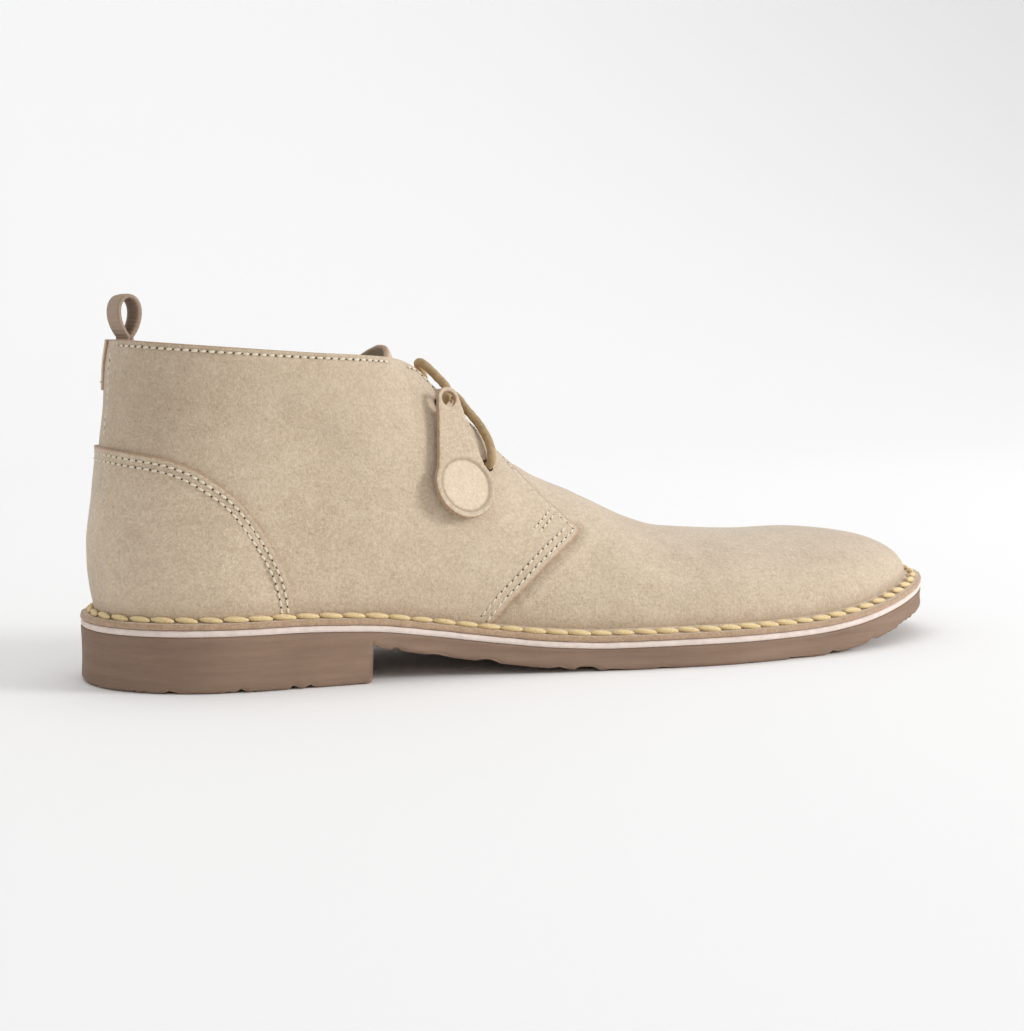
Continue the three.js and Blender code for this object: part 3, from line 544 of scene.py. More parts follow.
def grid_normals(points, towards):
    """Normals of a grid of points, turned to the side of the vectors given."""
    total = np.zeros_like(points)
    face = np.cross(points[1:, 1:] - points[:-1, :-1], points[:-1, 1:] - points[1:, :-1])
    for i in (slice(None, -1), slice(1, None)):
        for j in (slice(None, -1), slice(1, None)):
            total[i, j] += face
    total = unit(total)
    return total * np.where(np.sum(total * towards, axis=-1, keepdims=True) < 0, -1, 1)


def shell(last, name, points, normals, wall, bulge, tint_and_painted_light=0.0):
    """A closed leather piece from the grid of its outer face, with a rounded cut edge.

    Its attributes are edge, 1 on the cut, lined, 1 on the inner face, and the tint of the outer
    face, which on the quarters and the vamp carries painted light and shade.
    """
    rows, columns = points.shape[:2]
    wall = np.broadcast_to(np.asarray(wall, float), (rows, columns))
    under = points - normals * wall[..., None]
    i, j = loop = grid_loop(rows, columns)
    outward = points[loop] - points[np.clip(i, 1, rows - 2), np.clip(j, 1, columns - 2)]
    outward -= normals[loop] * np.sum(outward * normals[loop], axis=-1, keepdims=True)
    outward = unit(outward)
    count, around = rows * columns, len(i)
    index = i * columns + j
    rims, bands = [], [index]
    for k in range(1, RIM_STEPS):
        turn = math.pi * k / RIM_STEPS
        depth = wall[loop] / 2 * (1 - math.cos(turn))
        out = outward * (bulge * math.sin(turn))
        rims.append(points[loop] + out - normals[loop] * depth[:, None])
        bands.append(2 * count + (k - 1) * around + np.arange(around))
    bands.append(index + count)
    quads = [grid_quads(rows, columns), grid_quads(rows, columns, start=count)[:, ::-1]]
    quads += [band(low, high) for low, high in zip(bands, bands[1:])]
    rim = around * (RIM_STEPS - 1)
    edge = np.concatenate([np.zeros(2 * count), np.ones(rim)])
    edge[index] = 0.85
    # The tint: painted light and shade on the quarters and the vamp, and the darker band over the
    # flange
    tint = np.broadcast_to(tint_and_painted_light, (rows, columns)).ravel()
    marks = {
        "edge": edge,
        "lined": np.concatenate([np.zeros(count), np.ones(count), np.full(rim, 0.3)]),
        "tint_and_painted_light": np.concatenate([tint, np.zeros(count + rim)]),
    }
    everything = np.concatenate([points.reshape(-1, 3), under.reshape(-1, 3), *rims])
    return make_mesh(last, name, everything, np.concatenate(quads), marks)


def polyline_distance(points, line):
    """Distance from each point to a line, and how far along the line its foot is."""
    shape = points.shape[:-1]
    flat = points.reshape(-1, points.shape[-1])
    best = np.full(len(flat), np.inf)
    where = np.zeros(len(flat))
    run = 0.0
    for a, b in zip(line, line[1:]):
        step = b - a
        length = float(np.linalg.norm(step))
        if length < 1e-9:
            continue
        t = np.clip((flat - a) @ step / length ** 2, 0, 1)
        gap = np.linalg.norm(flat - a - t[:, None] * step, axis=1)
        nearer = gap < best
        best = np.where(nearer, gap, best)
        where = np.where(nearer, run + t * length, where)
        run += length
    return best.reshape(shape), where.reshape(shape)


def rounded(points, step, sweep):
    """A line resampled at even steps, with its corners rounded over the sweep."""
    points = np.asarray(points, float)
    run = run_of(points)
    line = sampled(points, run, np.linspace(0, run[-1], max(int(run[-1] / step), 4)))
    for _ in range(int(sweep / step * 3)):
        line[1:-1] = (line[:-2] + 2 * line[1:-1] + line[2:]) / 4
    return line


def curved(points, count=8):
    """Smooth curve through the points given."""
    points = np.asarray(points, float)
    ends = np.concatenate([[2 * points[0] - points[1]], points, [2 * points[-1] - points[-2]]])
    result = []
    for a, b, c, d in zip(ends, ends[1:], ends[2:], ends[3:]):
        knots = [0.0]
        for p, q in ((a, b), (b, c), (c, d)):
            knots.append(knots[-1] + max(float(np.linalg.norm(q - p)), 1e-6) ** 0.5)
        for t in np.linspace(knots[1], knots[2], count, endpoint=False):
            def mix(p, q, i, j):
                return (p * (knots[j] - t) + q * (t - knots[i])) / (knots[j] - knots[i])
            ab, bc, cd = mix(a, b, 0, 1), mix(b, c, 1, 2), mix(c, d, 2, 3)
            result.append(mix(mix(ab, bc, 0, 2), mix(bc, cd, 1, 3), 1, 2))
    result.append(points[-1])
    return np.array(result)


class Pattern:
    """Edges and stitch rows of the upper, each a line of places (w, z) on a side."""

    def __init__(self, last):
        self.last = last
        self.collar_front = 0.333 * last.sole_length
        self.throat_front = self.collar_front + last.throat_length

    def collar_z(self, w):
        """Height of the collar at w."""
        last = self.last
        z = np.full(np.shape(w), last.collar_back)
        for _ in range(6):
            x = last.back + w * w
            z = last.collar_back * last.collar_share((x + last.lean(x, z)) / last.sole_length)
        return z

    def shares(self, sign, rows):
        """A line of the side view, from shares of the sole's length and the instep height."""
        last = self.last
        x = np.array([row[0] for row in rows]) * last.sole_length
        z = np.array([row[1] for row in rows]) * last.instep_height
        return np.stack([last.w_of(sign, x, z), z], -1)

    def front(self, sign):
        """Front edge of a quarter: seam, corner, facing and the collar's corner."""
        last = self.last
        seam = curved(self.shares(sign, VAMP_SEAM))
        over = seam[:, 1] - last.feather(last.back + seam[:, 0] ** 2) - FOOT_LIFT
        first = int(np.argmax(over > 0))
        if first:
            share = over[first] / (over[first] - over[first - 1])
            foot = seam[first] + (seam[first - 1] - seam[first]) * share
            seam = np.concatenate([[foot], seam[first:]])
        foot = curved(self.shares(sign, FACING_FOOT))
        x = np.linspace(self.throat_front - 7.5, self.collar_front + 5, 9)
        widen = 1 + 0.3 * smooth(-x, -self.collar_front - 8, -self.collar_front + 4)
        z = last.crown_z(x, last.aside(sign, x, last.throat_width / 2 * widen))
        facing = np.stack([last.w_of(sign, x, z), z], -1)
        turn_x = np.array([0.34, 0.328, 0.312]) * last.sole_length
        turn_z = last.collar_back * np.array([0.929, 0.941, 0.9487])
        turn = np.stack([last.w_of(sign, turn_x, turn_z), turn_z], -1)
        upper = curved(np.concatenate([foot[-1:], facing, turn]), 6)
        return np.concatenate([seam, foot[1:], upper[1:]]), len(seam) - 1

    def offset(self, line, distance):
        """The line moved sideways over the skin, to its left for a positive distance."""
        for _ in range(4):
            _, normal, along, up = self.last.facts(line[:, 0], line[:, 1])
            steps = np.gradient(line, axis=0)
            aside = np.cross(normal, unit(along * steps[:, :1] + up * steps[:, 1:]))
            slopes = np.stack([along, up], -2)
            gram = slopes @ np.swapaxes(slopes, -1, -2)
            moved = np.linalg.solve(gram, slopes @ aside[..., None])[..., 0]
            line = line + distance / 4 * moved
        return line

    def trimmed(self, line, start, end):
        """The line without the given lengths at its ends, in millimetres."""
        run = run_of(self.last.on(line[:, 0], line[:, 1]))
        even = np.linspace(start, run[-1] - end, max(int(run[-1] - start - end), 3))
        return sampled(line, run, even)

    def counter_edge(self):
        """Top edge of the counter from its outer foot over the back seam to its inner foot."""
        last = self.last
        table = through(COUNTER_EDGE, 1)
        foot = 0.8 + 0.2 * np.linspace(0, 1, 26)[1:] ** 0.6
        at = np.concatenate([np.linspace(0.16, 0.8, 26), foot])
        z = last.seat + last.counter_height * table(at)
        sides = []
        for sign in (OUTER, INNER):
            front = last.w_of(sign, at * last.counter_length, z)
            w = np.linspace(0.0, front[0], 10)[:-1]
            level = np.full(len(w), z[0])
            for _ in range(8):
                x = last.back + w * w
                x = x + last.lean(x, level)
                level = last.seat + last.counter_height * table(x / last.counter_length)
            sides.append(np.stack([np.concatenate([w, front]), np.concatenate([level, z])], -1))
        return np.concatenate([sides[0][::-1], sides[1][1:]])

    def tab_edge(self):
        """Lower edge of the half-moon tab, from the back seam to the collar."""
        last = self.last
        at = np.linspace(0, 1, 40) ** 2
        x = last.back_lean + at * last.tab_length
        z = last.collar_back * last.collar_share(x / last.sole_length)
        z = z - last.tab_depth * through(TAB_EDGE, 1)(at)
        w = last.w_of(INNER, x, z)
        w[0] = 0.02
        return np.stack([w, z], -1)

    def rows(self, sign):
        """Stitch rows of one quarter."""
        last = self.last
        front, corner = self.front(sign)
        seam, facing = front[: corner + 1], front[corner:]
        turn = 1 if sign < 0 else -1
        # Edge, distance of the row from it, and lengths left out at the row's two ends
        rows = [
            self.trimmed(self.offset(line, distance * turn), start, end)
            for line, distance, start, end in (
                (seam, 1.9, 0.5, 1.2), (seam, 4.3, 0.5, 3.2), (facing, 2.0, 1.5, 9.5),
            )
        ]
        under_collar = 1.5
        reach = abs(last.w_of(sign, 0.31 * last.sole_length, last.collar_back * 0.95))
        w = sign * np.linspace(1.2, reach, 90)
        rows.append(np.stack([w, self.collar_z(w) - under_collar], -1))
        ends = self.shares(sign, BAR)
        bar = np.stack([np.linspace(ends[0, k], ends[1, k], 12) for k in (0, 1)], -1)
        return rows + [self.offset(bar, distance) for distance in (0.0, 2.0)]


def dent(last, points, rows):
    """Depth of the soft dents at the points."""
    total = np.zeros(points.shape[:-1])
    scale = np.array([last.sole_length, last.collar_back])
    for line, depth, width in rows:
        gap, _ = polyline_distance(points[..., [0, 2]], np.array(line) * scale)
        total -= depth * bell(gap, width)
    return total


def waves(points, length, seed):
    """Slow, uneven waves over the points, from about -1 to 1."""
    total = np.zeros(points.shape[:-1])
    source = np.random.default_rng(seed)
    for _ in range(7):
        direction = unit(source.normal(size=3)) * 2 * np.pi / (length * source.uniform(0.6, 1.6))
        total += np.sin(points @ direction + source.uniform(0, 6.28))
    return total / 3.5


def swell(points, part):
    """Height of a part's swell at the points."""
    return sum(height * waves(points, length, seed) for height, length, seed in SWELLS[part])


def skin_line(last, line, lift=0.0):
    """Points and normals of a line (w, z) over the skin."""
    points, normals, _, _ = last.facts(line[:, 0], line[:, 1])
    return points + normals * lift, normals


def even_points(points, normals, pitch):
    """Points at an even pitch along a line, with their normals and directions."""
    run = run_of(points)
    count = max(int(round(run[-1] / pitch)), 2)
    even = (np.arange(count) + 0.5) * run[-1] / count
    ahead = sampled(points, run, np.minimum(even + 0.5, run[-1]))
    ahead = ahead - sampled(points, run, np.maximum(even - 0.5, 0))
    return sampled(points, run, even), unit(sampled(normals, run, even)), unit(ahead)


def feed(tree, socket, value):
    """Links a socket to another's result, or sets it to a plain value."""
    if isinstance(value, bpy.types.NodeSocket):
        tree.links.new(value, socket)
    elif socket.type == "RGBA":
        socket.default_value = (*value, 1)
    else:
        socket.default_value = value


def add_node(tree, kind, inputs=None, **settings):
    """A new node with its settings made, and its inputs linked or set."""
    made = tree.nodes.new(kind)
    for key, value in settings.items():
        setattr(made, key, value)
    for key, value in (inputs or {}).items():
        feed(tree, made.inputs[key], value)
    return made


def scatter_tree(name):
    """Node tree that sets a rounded body on each point, turned along the row."""
    tree = bpy.data.node_groups.new(name, "GeometryNodeTree")
    for label, kind in (
        ("Geometry", "Geometry"), ("Length", "Float"), ("Width", "Float"), ("Height", "Float"),
        ("Tilt", "Float"), ("Jitter", "Float"), ("Seed", "Int"), ("Material", "Material"),
    ):
        tree.interface.new_socket(label, in_out="INPUT", socket_type="NodeSocket" + kind)
    tree.interface.new_socket("Geometry", in_out="OUTPUT", socket_type="NodeSocketGeometry")
    given = add_node(tree, "NodeGroupInput").outputs

    def add(kind, inputs, **settings):
        return add_node(tree, kind, inputs, **settings).outputs[0]

    def attribute(label):
        kind = "GeometryNodeInputNamedAttribute"
        return add_node(tree, kind, {"Name": label}, data_type="FLOAT_VECTOR").outputs["Attribute"]

    def chance(spread, offset):
        node = add_node(tree, "FunctionNodeRandomValue", data_type="FLOAT")
        limits = [socket for socket in node.inputs if socket.type == "VALUE"]
        for socket, limit in zip(limits, (-spread, spread)):
            scaled = add("ShaderNodeMath", {0: given["Jitter"], 1: limit}, operation="MULTIPLY")
            feed(tree, socket, scaled)
        feed(tree, node.inputs["Seed"], add("ShaderNodeMath", {0: given["Seed"], 1: offset}))
        return next(socket for socket in node.outputs if socket.type == "VALUE")

    ball = add("GeometryNodeMeshUVSphere", {"Segments": 8, "Rings": 6, "Radius": 0.5})
    ball = add("GeometryNodeTransform", {"Geometry": ball, "Rotation": (0, math.pi / 2, 0)})
    ball = add("GeometryNodeSetShadeSmooth", {"Geometry": ball})
    align = "FunctionNodeAlignRotationToVector"
    stand = add(align, {"Vector": attribute("up")}, axis="Z")
    ahead = {"Rotation": stand, "Vector": attribute("along")}
    point = add(align, ahead, axis="X", pivot_axis="Z")
    tilt = add("ShaderNodeMath", {0: given["Tilt"], 1: chance(1.0, 0)})
    turn = add("FunctionNodeEulerToRotation", {"Euler": add("ShaderNodeCombineXYZ", {"Z": tilt})})
    both = {"Rotation": point, "Rotate By": turn}
    turned = add("FunctionNodeRotateRotation", both, rotation_space="LOCAL")
    extent = {"X": given["Length"], "Y": given["Width"], "Z": given["Height"]}
    grow = add("ShaderNodeMath", {0: chance(1.2, 7), 1: 1.0})
    grown = {0: add("ShaderNodeCombineXYZ", extent), "Scale": grow}
    scale = add("ShaderNodeVectorMath", grown, operation="SCALE")
    bodies = add("GeometryNodeInstanceOnPoints", {
        "Points": given["Geometry"], "Instance": ball, "Rotation": turned, "Scale": scale,
    })
    real = add("GeometryNodeRealizeInstances", {"Geometry": bodies})
    painted = add("GeometryNodeSetMaterial", {"Geometry": real, "Material": given["Material"]})
    add_node(tree, "NodeGroupOutput", {"Geometry": painted})
    return tree


def scatter(last, name, rows, lengths, tilt, jitter, look):
    """One object with a rounded body on each point of the rows (points, normals, directions)."""
    tree = bpy.data.node_groups.get("Boot rows") or scatter_tree("Boot rows")
    points, up, along = (np.concatenate(column) for column in zip(*rows))
    data = bpy.data.meshes.new(name)
    data.vertices.add(len(points))
    data.vertices.foreach_set("co", last.place(points).ravel())
    for label, vectors in (("up", up), ("along", along)):
        layer = data.attributes.new(label, "FLOAT_VECTOR", "POINT")
        layer.data.foreach_set("vector", vectors.ravel())
    data.update()
    piece = placed(name, data)
    modifier = piece.modifiers.new("Rows", "NODES")
    modifier.node_group = tree
    length, width, height = (value * MM for value in lengths)
    values = {
        "Length": length, "Width": width, "Height": height,
        "Tilt": tilt, "Jitter": jitter, "Seed": 3, "Material": look,
    }
    for item in tree.interface.items_tree:
        if item.in_out == "INPUT" and item.name in values:
            modifier[item.identifier] = values[item.name]
    graph = bpy.context.evaluated_depsgraph_get()
    made = bpy.data.meshes.new_from_object(piece.evaluated_get(graph))
    piece.modifiers.clear()
    piece.data = made
    if not made.polygons:
        raise RuntimeError(name + " came out empty")
    return piece


def tube(last, name, path, radius):
    """A cord round a path, its ends closed, with the lay of its strands raised."""
    sides, strands, depth, lay = 16, 3, 0.05, 1.9
    tangent = unit(np.gradient(path, axis=0))
    ups = np.zeros_like(path)
    up = np.array([0.0, 0.0, 1.0])
    for i, direction in enumerate(tangent):
        up = up - direction * float(up @ direction)
        up = up / np.linalg.norm(up)
        ups[i] = up
    side = np.cross(tangent, ups)
    run = run_of(path)
    turn = np.linspace(0, 2 * np.pi, sides, endpoint=False)
    grow = radius + depth * np.sin(strands * turn[None, :] + run[:, None] * lay)
    ends = np.clip(np.minimum(run, run[-1] - run) / radius, 0, 1)
    grow *= np.sqrt(np.clip(1 - (1 - ends) ** 2, 0.0004, 1))[:, None]
    rings = path[:, None] + grow[..., None] * (
        np.cos(turn)[None, :, None] * ups[:, None] + np.sin(turn)[None, :, None] * side[:, None]
    )
    return make_mesh(last, name, rings, capped_quads(len(path), sides))


# Materials

def tinted(colour, share):
    """A colour times a share, no brighter than white."""
    return tuple(min(value * share, 1) for value in colour)


class Paint:
    """Short calls for the nodes of one material."""

    def __init__(self, name):
        self.material = bpy.data.materials.new(name)
        self.material.use_nodes = True
        self.tree = self.material.node_tree
        self.shader = self.tree.nodes["Principled BSDF"]
        self.place = self.tree.nodes.new("ShaderNodeTexCoord").outputs["Object"]

    def noise(self, scale, detail, roughness, stretch=(1, 1, 1), seed=0.0):
        vector = self.place
        if seed or stretch != (1, 1, 1):
            vector = add_node(self.tree, "ShaderNodeMapping", {
                "Vector": vector, "Scale": stretch, "Location": (seed, seed * 0.7, seed * 1.3),
            }).outputs["Vector"]
        return add_node(self.tree, "ShaderNodeTexNoise", {
            "Vector": vector, "Scale": scale, "Detail": detail, "Roughness": roughness,
        }).outputs["Fac"]

    def attribute(self, name):
        return add_node(self.tree, "ShaderNodeAttribute", attribute_name=name).outputs["Fac"]

    def math(self, operation, a, b):
        return add_node(self.tree, "ShaderNodeMath", {0: a, 1: b}, operation=operation).outputs[0]

    def total(self, *shares):
        """Sum of values, each times its weight."""
        result, *rest = [self.math("MULTIPLY", value, weight) for value, weight in shares]
        for part in rest:
            result = self.math("ADD", result, part)
        return result

    def spread(self, value, low, high):
        limits = {"Value": value, "From Min": low, "From Max": high}
        return add_node(self.tree, "ShaderNodeMapRange", limits, clamp=True).outputs["Result"]

    def mix(self, share, a, b):
        made = add_node(self.tree, "ShaderNodeMix", {0: share}, data_type="RGBA")
        sockets = [socket for socket in made.inputs if socket.type == "RGBA"]
        for socket, value in zip(sockets, (a, b)):
            feed(self.tree, socket, value)
        return next(socket for socket in made.outputs if socket.type == "RGBA")

    def bump(self, height, distance, strength, normal=None):
        inputs = {"Height": height, "Distance": distance * MM, "Strength": strength}
        if normal is not None:
            inputs["Normal"] = normal
        return add_node(self.tree, "ShaderNodeBump", inputs).outputs["Normal"]

    def finish(self, colour, roughness, normal=None, **constants):
        inputs = {"Base Color": colour, "Roughness": roughness}
        if normal is not None:
            inputs["Normal"] = normal
        inputs.update({key.replace("_", " "): value for key, value in constants.items()})
        for key, value in inputs.items():
            feed(self.tree, self.shader.inputs[key], value)
        return self.material


def suede_material(colours, name, seed, shade):
    """Brushed suede: mottled nap, fine fibres, paler and rougher cut edges, painted light and shade
    from the tint, and the lining on the inner face.
    """
    paint = Paint(name)
    light = tinted(colours.suede_light, shade)
    dark = tinted(colours.suede_dark, shade)
    patches = paint.noise(34, 4, 0.6, seed=seed)
    mottle = paint.noise(190, 5, 0.65, stretch=(1, 1, 1.25), seed=seed + 0.2)
    worm = paint.noise(820, 2, 0.5, seed=seed + 0.3)
    grain = paint.noise(1500, 3, 0.7, seed=seed + 0.4)
    blend = paint.total((patches, 0.42), (mottle, 0.4), (worm, 0.5), (grain, 0.8))
    tone = paint.mix(paint.spread(blend, 0.72, 1.4), dark, light)
    fleck = paint.spread(paint.noise(2300, 2, 0.5, seed=seed + 0.6), 0.57, 0.72)
    tone = paint.mix(paint.math("MULTIPLY", fleck, 0.4), tone, tinted(light, 1.22))
    pit = paint.spread(paint.noise(1700, 2, 0.5, seed=seed + 0.9), 0.6, 0.75)
    tone = paint.mix(paint.math("MULTIPLY", pit, 0.35), tone, tinted(dark, 0.7))
    cut = paint.mix(
        paint.spread(grain, 0.35, 0.65), tinted(colours.raw_edge, 0.62), colours.raw_edge
    )
    tone = paint.mix(paint.spread(paint.attribute("edge"), 0.3, 0.9), tone, cut)
    # Painted light and shade from the tint: a painted highlight where it is above 0; painted shade
    # and shadow where it is below 0, where the darker band over the flange also lies
    for weight, mark in ((0.3, tinted(light, 1.3)), (-0.5, tinted(dark, 0.8))):
        press = paint.math("MULTIPLY", paint.attribute("tint_and_painted_light"), weight)
        tone = paint.mix(paint.spread(press, 0.0, 1.0), tone, mark)
    tone = paint.mix(paint.spread(paint.attribute("lined"), 0.6, 0.9), tone, colours.lining)
    fibres = paint.noise(1900, 4, 0.75, stretch=(1, 1, 0.55), seed=seed)
    normal = paint.bump(mottle, 0.45, 0.4)
    normal = paint.bump(worm, 0.22, 0.7, normal)
    normal = paint.bump(fibres, 0.2, 1.0, normal)
    return paint.finish(
        tone, 0.96, normal, Sheen_Weight=0.35, Sheen_Roughness=0.55, Specular_IOR_Level=0.12
    )


def leather_material(colours):
    """Smooth lining leather with a fine grain."""
    paint = Paint("sock leather")
    cloud = paint.noise(60, 4, 0.6)
    tone = paint.mix(paint.spread(cloud, 0.3, 0.7), colours.lining, tinted(colours.lining, 1.15))
    normal = paint.bump(paint.noise(1400, 3, 0.6), 0.1, 0.5)
    return paint.finish(tone, paint.spread(cloud, -1.2, 1.6), normal, Specular_IOR_Level=0.3)


def rubber_material(colours):
    """Moulded rubber with drawn streaks along its side."""
    paint = Paint("sole rubber")
    streaks = paint.noise(120, 6, 0.7, stretch=(0.22, 0.22, 3.2))
    dust = paint.noise(35, 4, 0.6, seed=0.3)
    fine = paint.noise(900, 3, 0.6, stretch=(0.3, 0.3, 1.6))
    blend = paint.total((streaks, 0.9), (dust, 0.6))
    tone = paint.mix(paint.spread(blend, 0.3, 1.25), colours.rubber_dark, colours.rubber_light)
    crumbs = paint.spread(paint.attribute("edge"), 0.15, 1.1)
    tone = paint.mix(crumbs, tone, tinted(colours.rubber_light, 1.5))
    normal = paint.bump(fine, 0.12, 0.5, paint.bump(streaks, 0.3, 0.25))
    return paint.finish(tone, paint.spread(fine, -1.3, 1.2), normal, Specular_IOR_Level=0.35)


def midsole_material(colours):
    """Pale felted layer with a rough cut edge."""
    paint = Paint("midsole layer")
    cloud = paint.spread(paint.noise(260, 4, 0.7), 0.35, 0.6)
    tone = paint.mix(cloud, tinted(colours.midsole, 0.88), colours.midsole)
    normal = paint.bump(paint.noise(1300, 4, 0.75, stretch=(0.5, 0.5, 1.5)), 0.3, 0.8)
    return paint.finish(tone, 0.95, normal, Specular_IOR_Level=0.15)


def thread_material(name, base, scale):
    """Twisted thread."""
    paint = Paint(name)
    twist = paint.noise(scale, 3, 0.6, stretch=(1, 1, 2.2))
    tone = paint.mix(paint.spread(twist, 0.35, 0.62), tinted(base, 0.76), base)
    normal = paint.bump(twist, 0.25, 0.7)
    return paint.finish(tone, 0.82, normal, Sheen_Weight=0.2, Specular_IOR_Level=0.25)


def cord_material(colours):
    """Waxed lace with a worn, slightly shiny surface."""
    paint = Paint("lace cord")
    wear = paint.spread(paint.noise(420, 4, 0.65), 0.38, 0.64)
    tone = paint.mix(wear, tinted(colours.lace, 0.72), colours.lace)
    normal = paint.bump(paint.noise(2200, 3, 0.6), 0.14, 0.7)
    return paint.finish(tone, 0.68, normal, Specular_IOR_Level=0.35)


def tape_material(colours):
    """Woven ribbed tape."""
    paint = Paint("tape")
    weave = paint.noise(1500, 2, 0.5, stretch=(1, 0.3, 1))
    # Painted shade: darker in the grooves between the ribs
    ribs = paint.spread(paint.attribute("rib"), 0.1, 0.8)
    tone = paint.mix(ribs, tinted(colours.tape, 0.6), colours.tape)
    pale = paint.math("MULTIPLY", paint.spread(weave, 0.4, 0.7), 0.3)
    tone = paint.mix(pale, tone, colours.row_thread)
    # Painted shade on the inner face of the open loop
    tone = paint.mix(paint.attribute("inside"), tone, tinted(colours.tape, 0.3))
    normal = paint.bump(weave, 0.2, 0.6)
    return paint.finish(tone, 0.85, normal, Sheen_Weight=0.2, Specular_IOR_Level=0.2)


def hole_shade_material(colours):
    """Painted shade in a stitch hole and under the lace at each eyelet."""
    paint = Paint("stitch hole shade")
    tone = paint.mix(paint.noise(800, 2, 0.5), tinted(colours.hole, 0.6), colours.hole)
    return paint.finish(tone, 1.0, Specular_IOR_Level=0.05)


def floor_material(colours):
    """Pale, matt floor."""
    paint = Paint("floor")
    tone = paint.mix(paint.noise(1.5, 2, 0.5), tinted(colours.floor, 0.985), colours.floor)
    return paint.finish(tone, 0.9, Specular_IOR_Level=0.1)


def material(name, make, *values):
    """The material of that name, made the first time that it is asked for."""
    return bpy.data.materials.get(name) or make(*values)


def suede(colours, part):
    """The suede of one part of the boot."""
    return material("suede " + part, suede_material, colours, "suede " + part, *SUEDES[part])


def use(piece, look):
    """Gives a piece its one material."""
    piece.data.materials.clear()
    piece.data.materials.append(look)


def boot(context):
    """The last, the pattern and the colours of the scene."""
    last = Last(context.scene.boot_sizes)
    return last, Pattern(last), context.scene.boot_colours


class BOOT_OT_sole(bpy.types.Operator):
    """Builds the rubber unit: tread, arch and heel block with a worn lower edge."""

    bl_idname = "boot.sole"
    bl_label = "Rubber unit"
    bl_options = {"REGISTER", "UNDO"}

    def execute(self, context):
        last, _, colours = boot(context)
        is_heel = np.arange(SOLE_COLUMNS) < HEEL_COLUMNS
        ring = self.around(last)
        edge = last.outline(ring, last.sole_margin)
        heel = np.concatenate([is_heel, is_heel[-2:0:-1]])
        base = np.where(heel, 0.0, last.rubber_bottom(edge[:, 0]))
        top = last.rubber_top(edge[:, 0])
        chips = np.random.default_rng(11).normal(size=len(ring))
        chips = np.convolve(np.concatenate([chips, chips[:2]]), [0.3, 0.5, 0.3], "valid")
        chips = np.clip(chips - 0.05, 0, 1.2) * 1.35
        edge_rise, lip, waist = 1.6, 0.4, 0.25
        rows, worn = [], []

        def row(margin, level):
            xy = last.outline(ring, last.sole_margin + margin)
            rows.append(np.column_stack([xy, level]))

        # Lower edge: margin, rise over the ground face, and share of the crumbled chips
        for margin, rise, chip in (
            (-last.edge_round, 0.0, 1.0), (-1.0, 0.08, 1.0), (-0.45, 0.4, 0.8),
            (-0.1, 0.95, 0.4), (0.0, edge_rise, 0.1),
        ):
            row(margin - 0.5 * chip * chips, base + rise + chip * chips * 0.6)
            worn.append(chip * np.clip(chips * 1.6, 0, 1))
        for share in np.linspace(0.16, 1, 9)[:-1]:
            level = base + edge_rise + (top - lip - base - edge_rise) * share
            row(-waist * math.sin(math.pi * share), level)
        row(-0.05, top - 0.35)
        row(-lip, top)
        side = np.array(rows)
        under, lid = self.across(side[0]), self.across(side[-1])
        self.tread(last, under, is_heel)
        start = side.size // 3
        quads = np.concatenate([
            grid_quads(len(side), len(ring), wrap=True),
            grid_quads(SOLE_COLUMNS, TREAD_COLUMNS, start=start),
            grid_quads(SOLE_COLUMNS, TREAD_COLUMNS, start=start + under.size // 3)[:, ::-1],
        ])
        points = np.concatenate([part.reshape(-1, 3) for part in (side, under, lid)])
        crumbs = np.zeros(len(points))
        crumbs[: len(worn) * len(ring)] = np.concatenate(worn)
        piece = make_mesh(last, "rubber_unit", points, quads, {"edge": crumbs})
        use(piece, material("sole rubber", rubber_material, colours))
        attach(piece, "root")
        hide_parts("outsole")
        return {"FINISHED"}

    def around(self, last):
        """Angles round the outline, with a narrow step at the heel's front face."""
        gap = 0.3
        even = np.linspace(0, np.pi, SOLE_COLUMNS)
        sides = []
        for sign in (OUTER, INNER):
            x = last.outline(even if sign < 0 else 2 * np.pi - even, last.sole_margin)[:, 0]
            low = np.interp(last.heel_length - gap, x, even)
            high = np.interp(last.heel_length + gap, x, even)
            spaced = np.concatenate([
                np.linspace(0, low, HEEL_COLUMNS),
                np.linspace(high, np.pi, SOLE_COLUMNS - HEEL_COLUMNS),
            ])
            sides.append(spaced if sign < 0 else 2 * np.pi - spaced)
        return np.concatenate([sides[0], sides[1][-2:0:-1]])

    def across(self, row):
        """Grid of points from the outer to the inner half of a closed row."""
        outer = row[:SOLE_COLUMNS]
        inner = np.concatenate([row[:1], row[SOLE_COLUMNS:][::-1], outer[-1:]])
        share = np.linspace(0, 1, TREAD_COLUMNS)[None, :, None]
        return outer[:, None] * (1 - share) + inner[:, None] * share

    def tread(self, last, under, is_heel):
        """Hollows the heel's front face and cuts the zigzag grooves into the ground face."""
        hollow_reach, tooth, tooth_width, pitch, depth = 26, 2.2, 6, 7.5, 0.9
        v = np.linspace(-1, 1, TREAD_COLUMNS)[None, :]
        near = np.clip(1 - np.abs(under[..., 0] - last.heel_length) / hollow_reach, 0, 1)
        under[..., 0] -= last.breast_hollow * (1 - v ** 2) * near
        x, y = under[..., 0], under[..., 1]
        inset = smooth(1 - np.abs(v), 0.12, 0.2)
        flat = is_heel[:, None] | (x > 0.5 * last.sole_length)
        ends = smooth(x, 8, 14) * (1 - smooth(x, 286, 292))
        breast = np.clip((np.abs(x - last.heel_length) - 5) / 2, 0, 1)
        zigzag = x + tooth * np.abs(((y / tooth_width) % 2) - 1) * 2
        groove = smooth(np.cos(2 * np.pi * zigzag / pitch), 0.25, 0.75)
        under[..., 2] += depth * groove * inset * flat * ends * breast


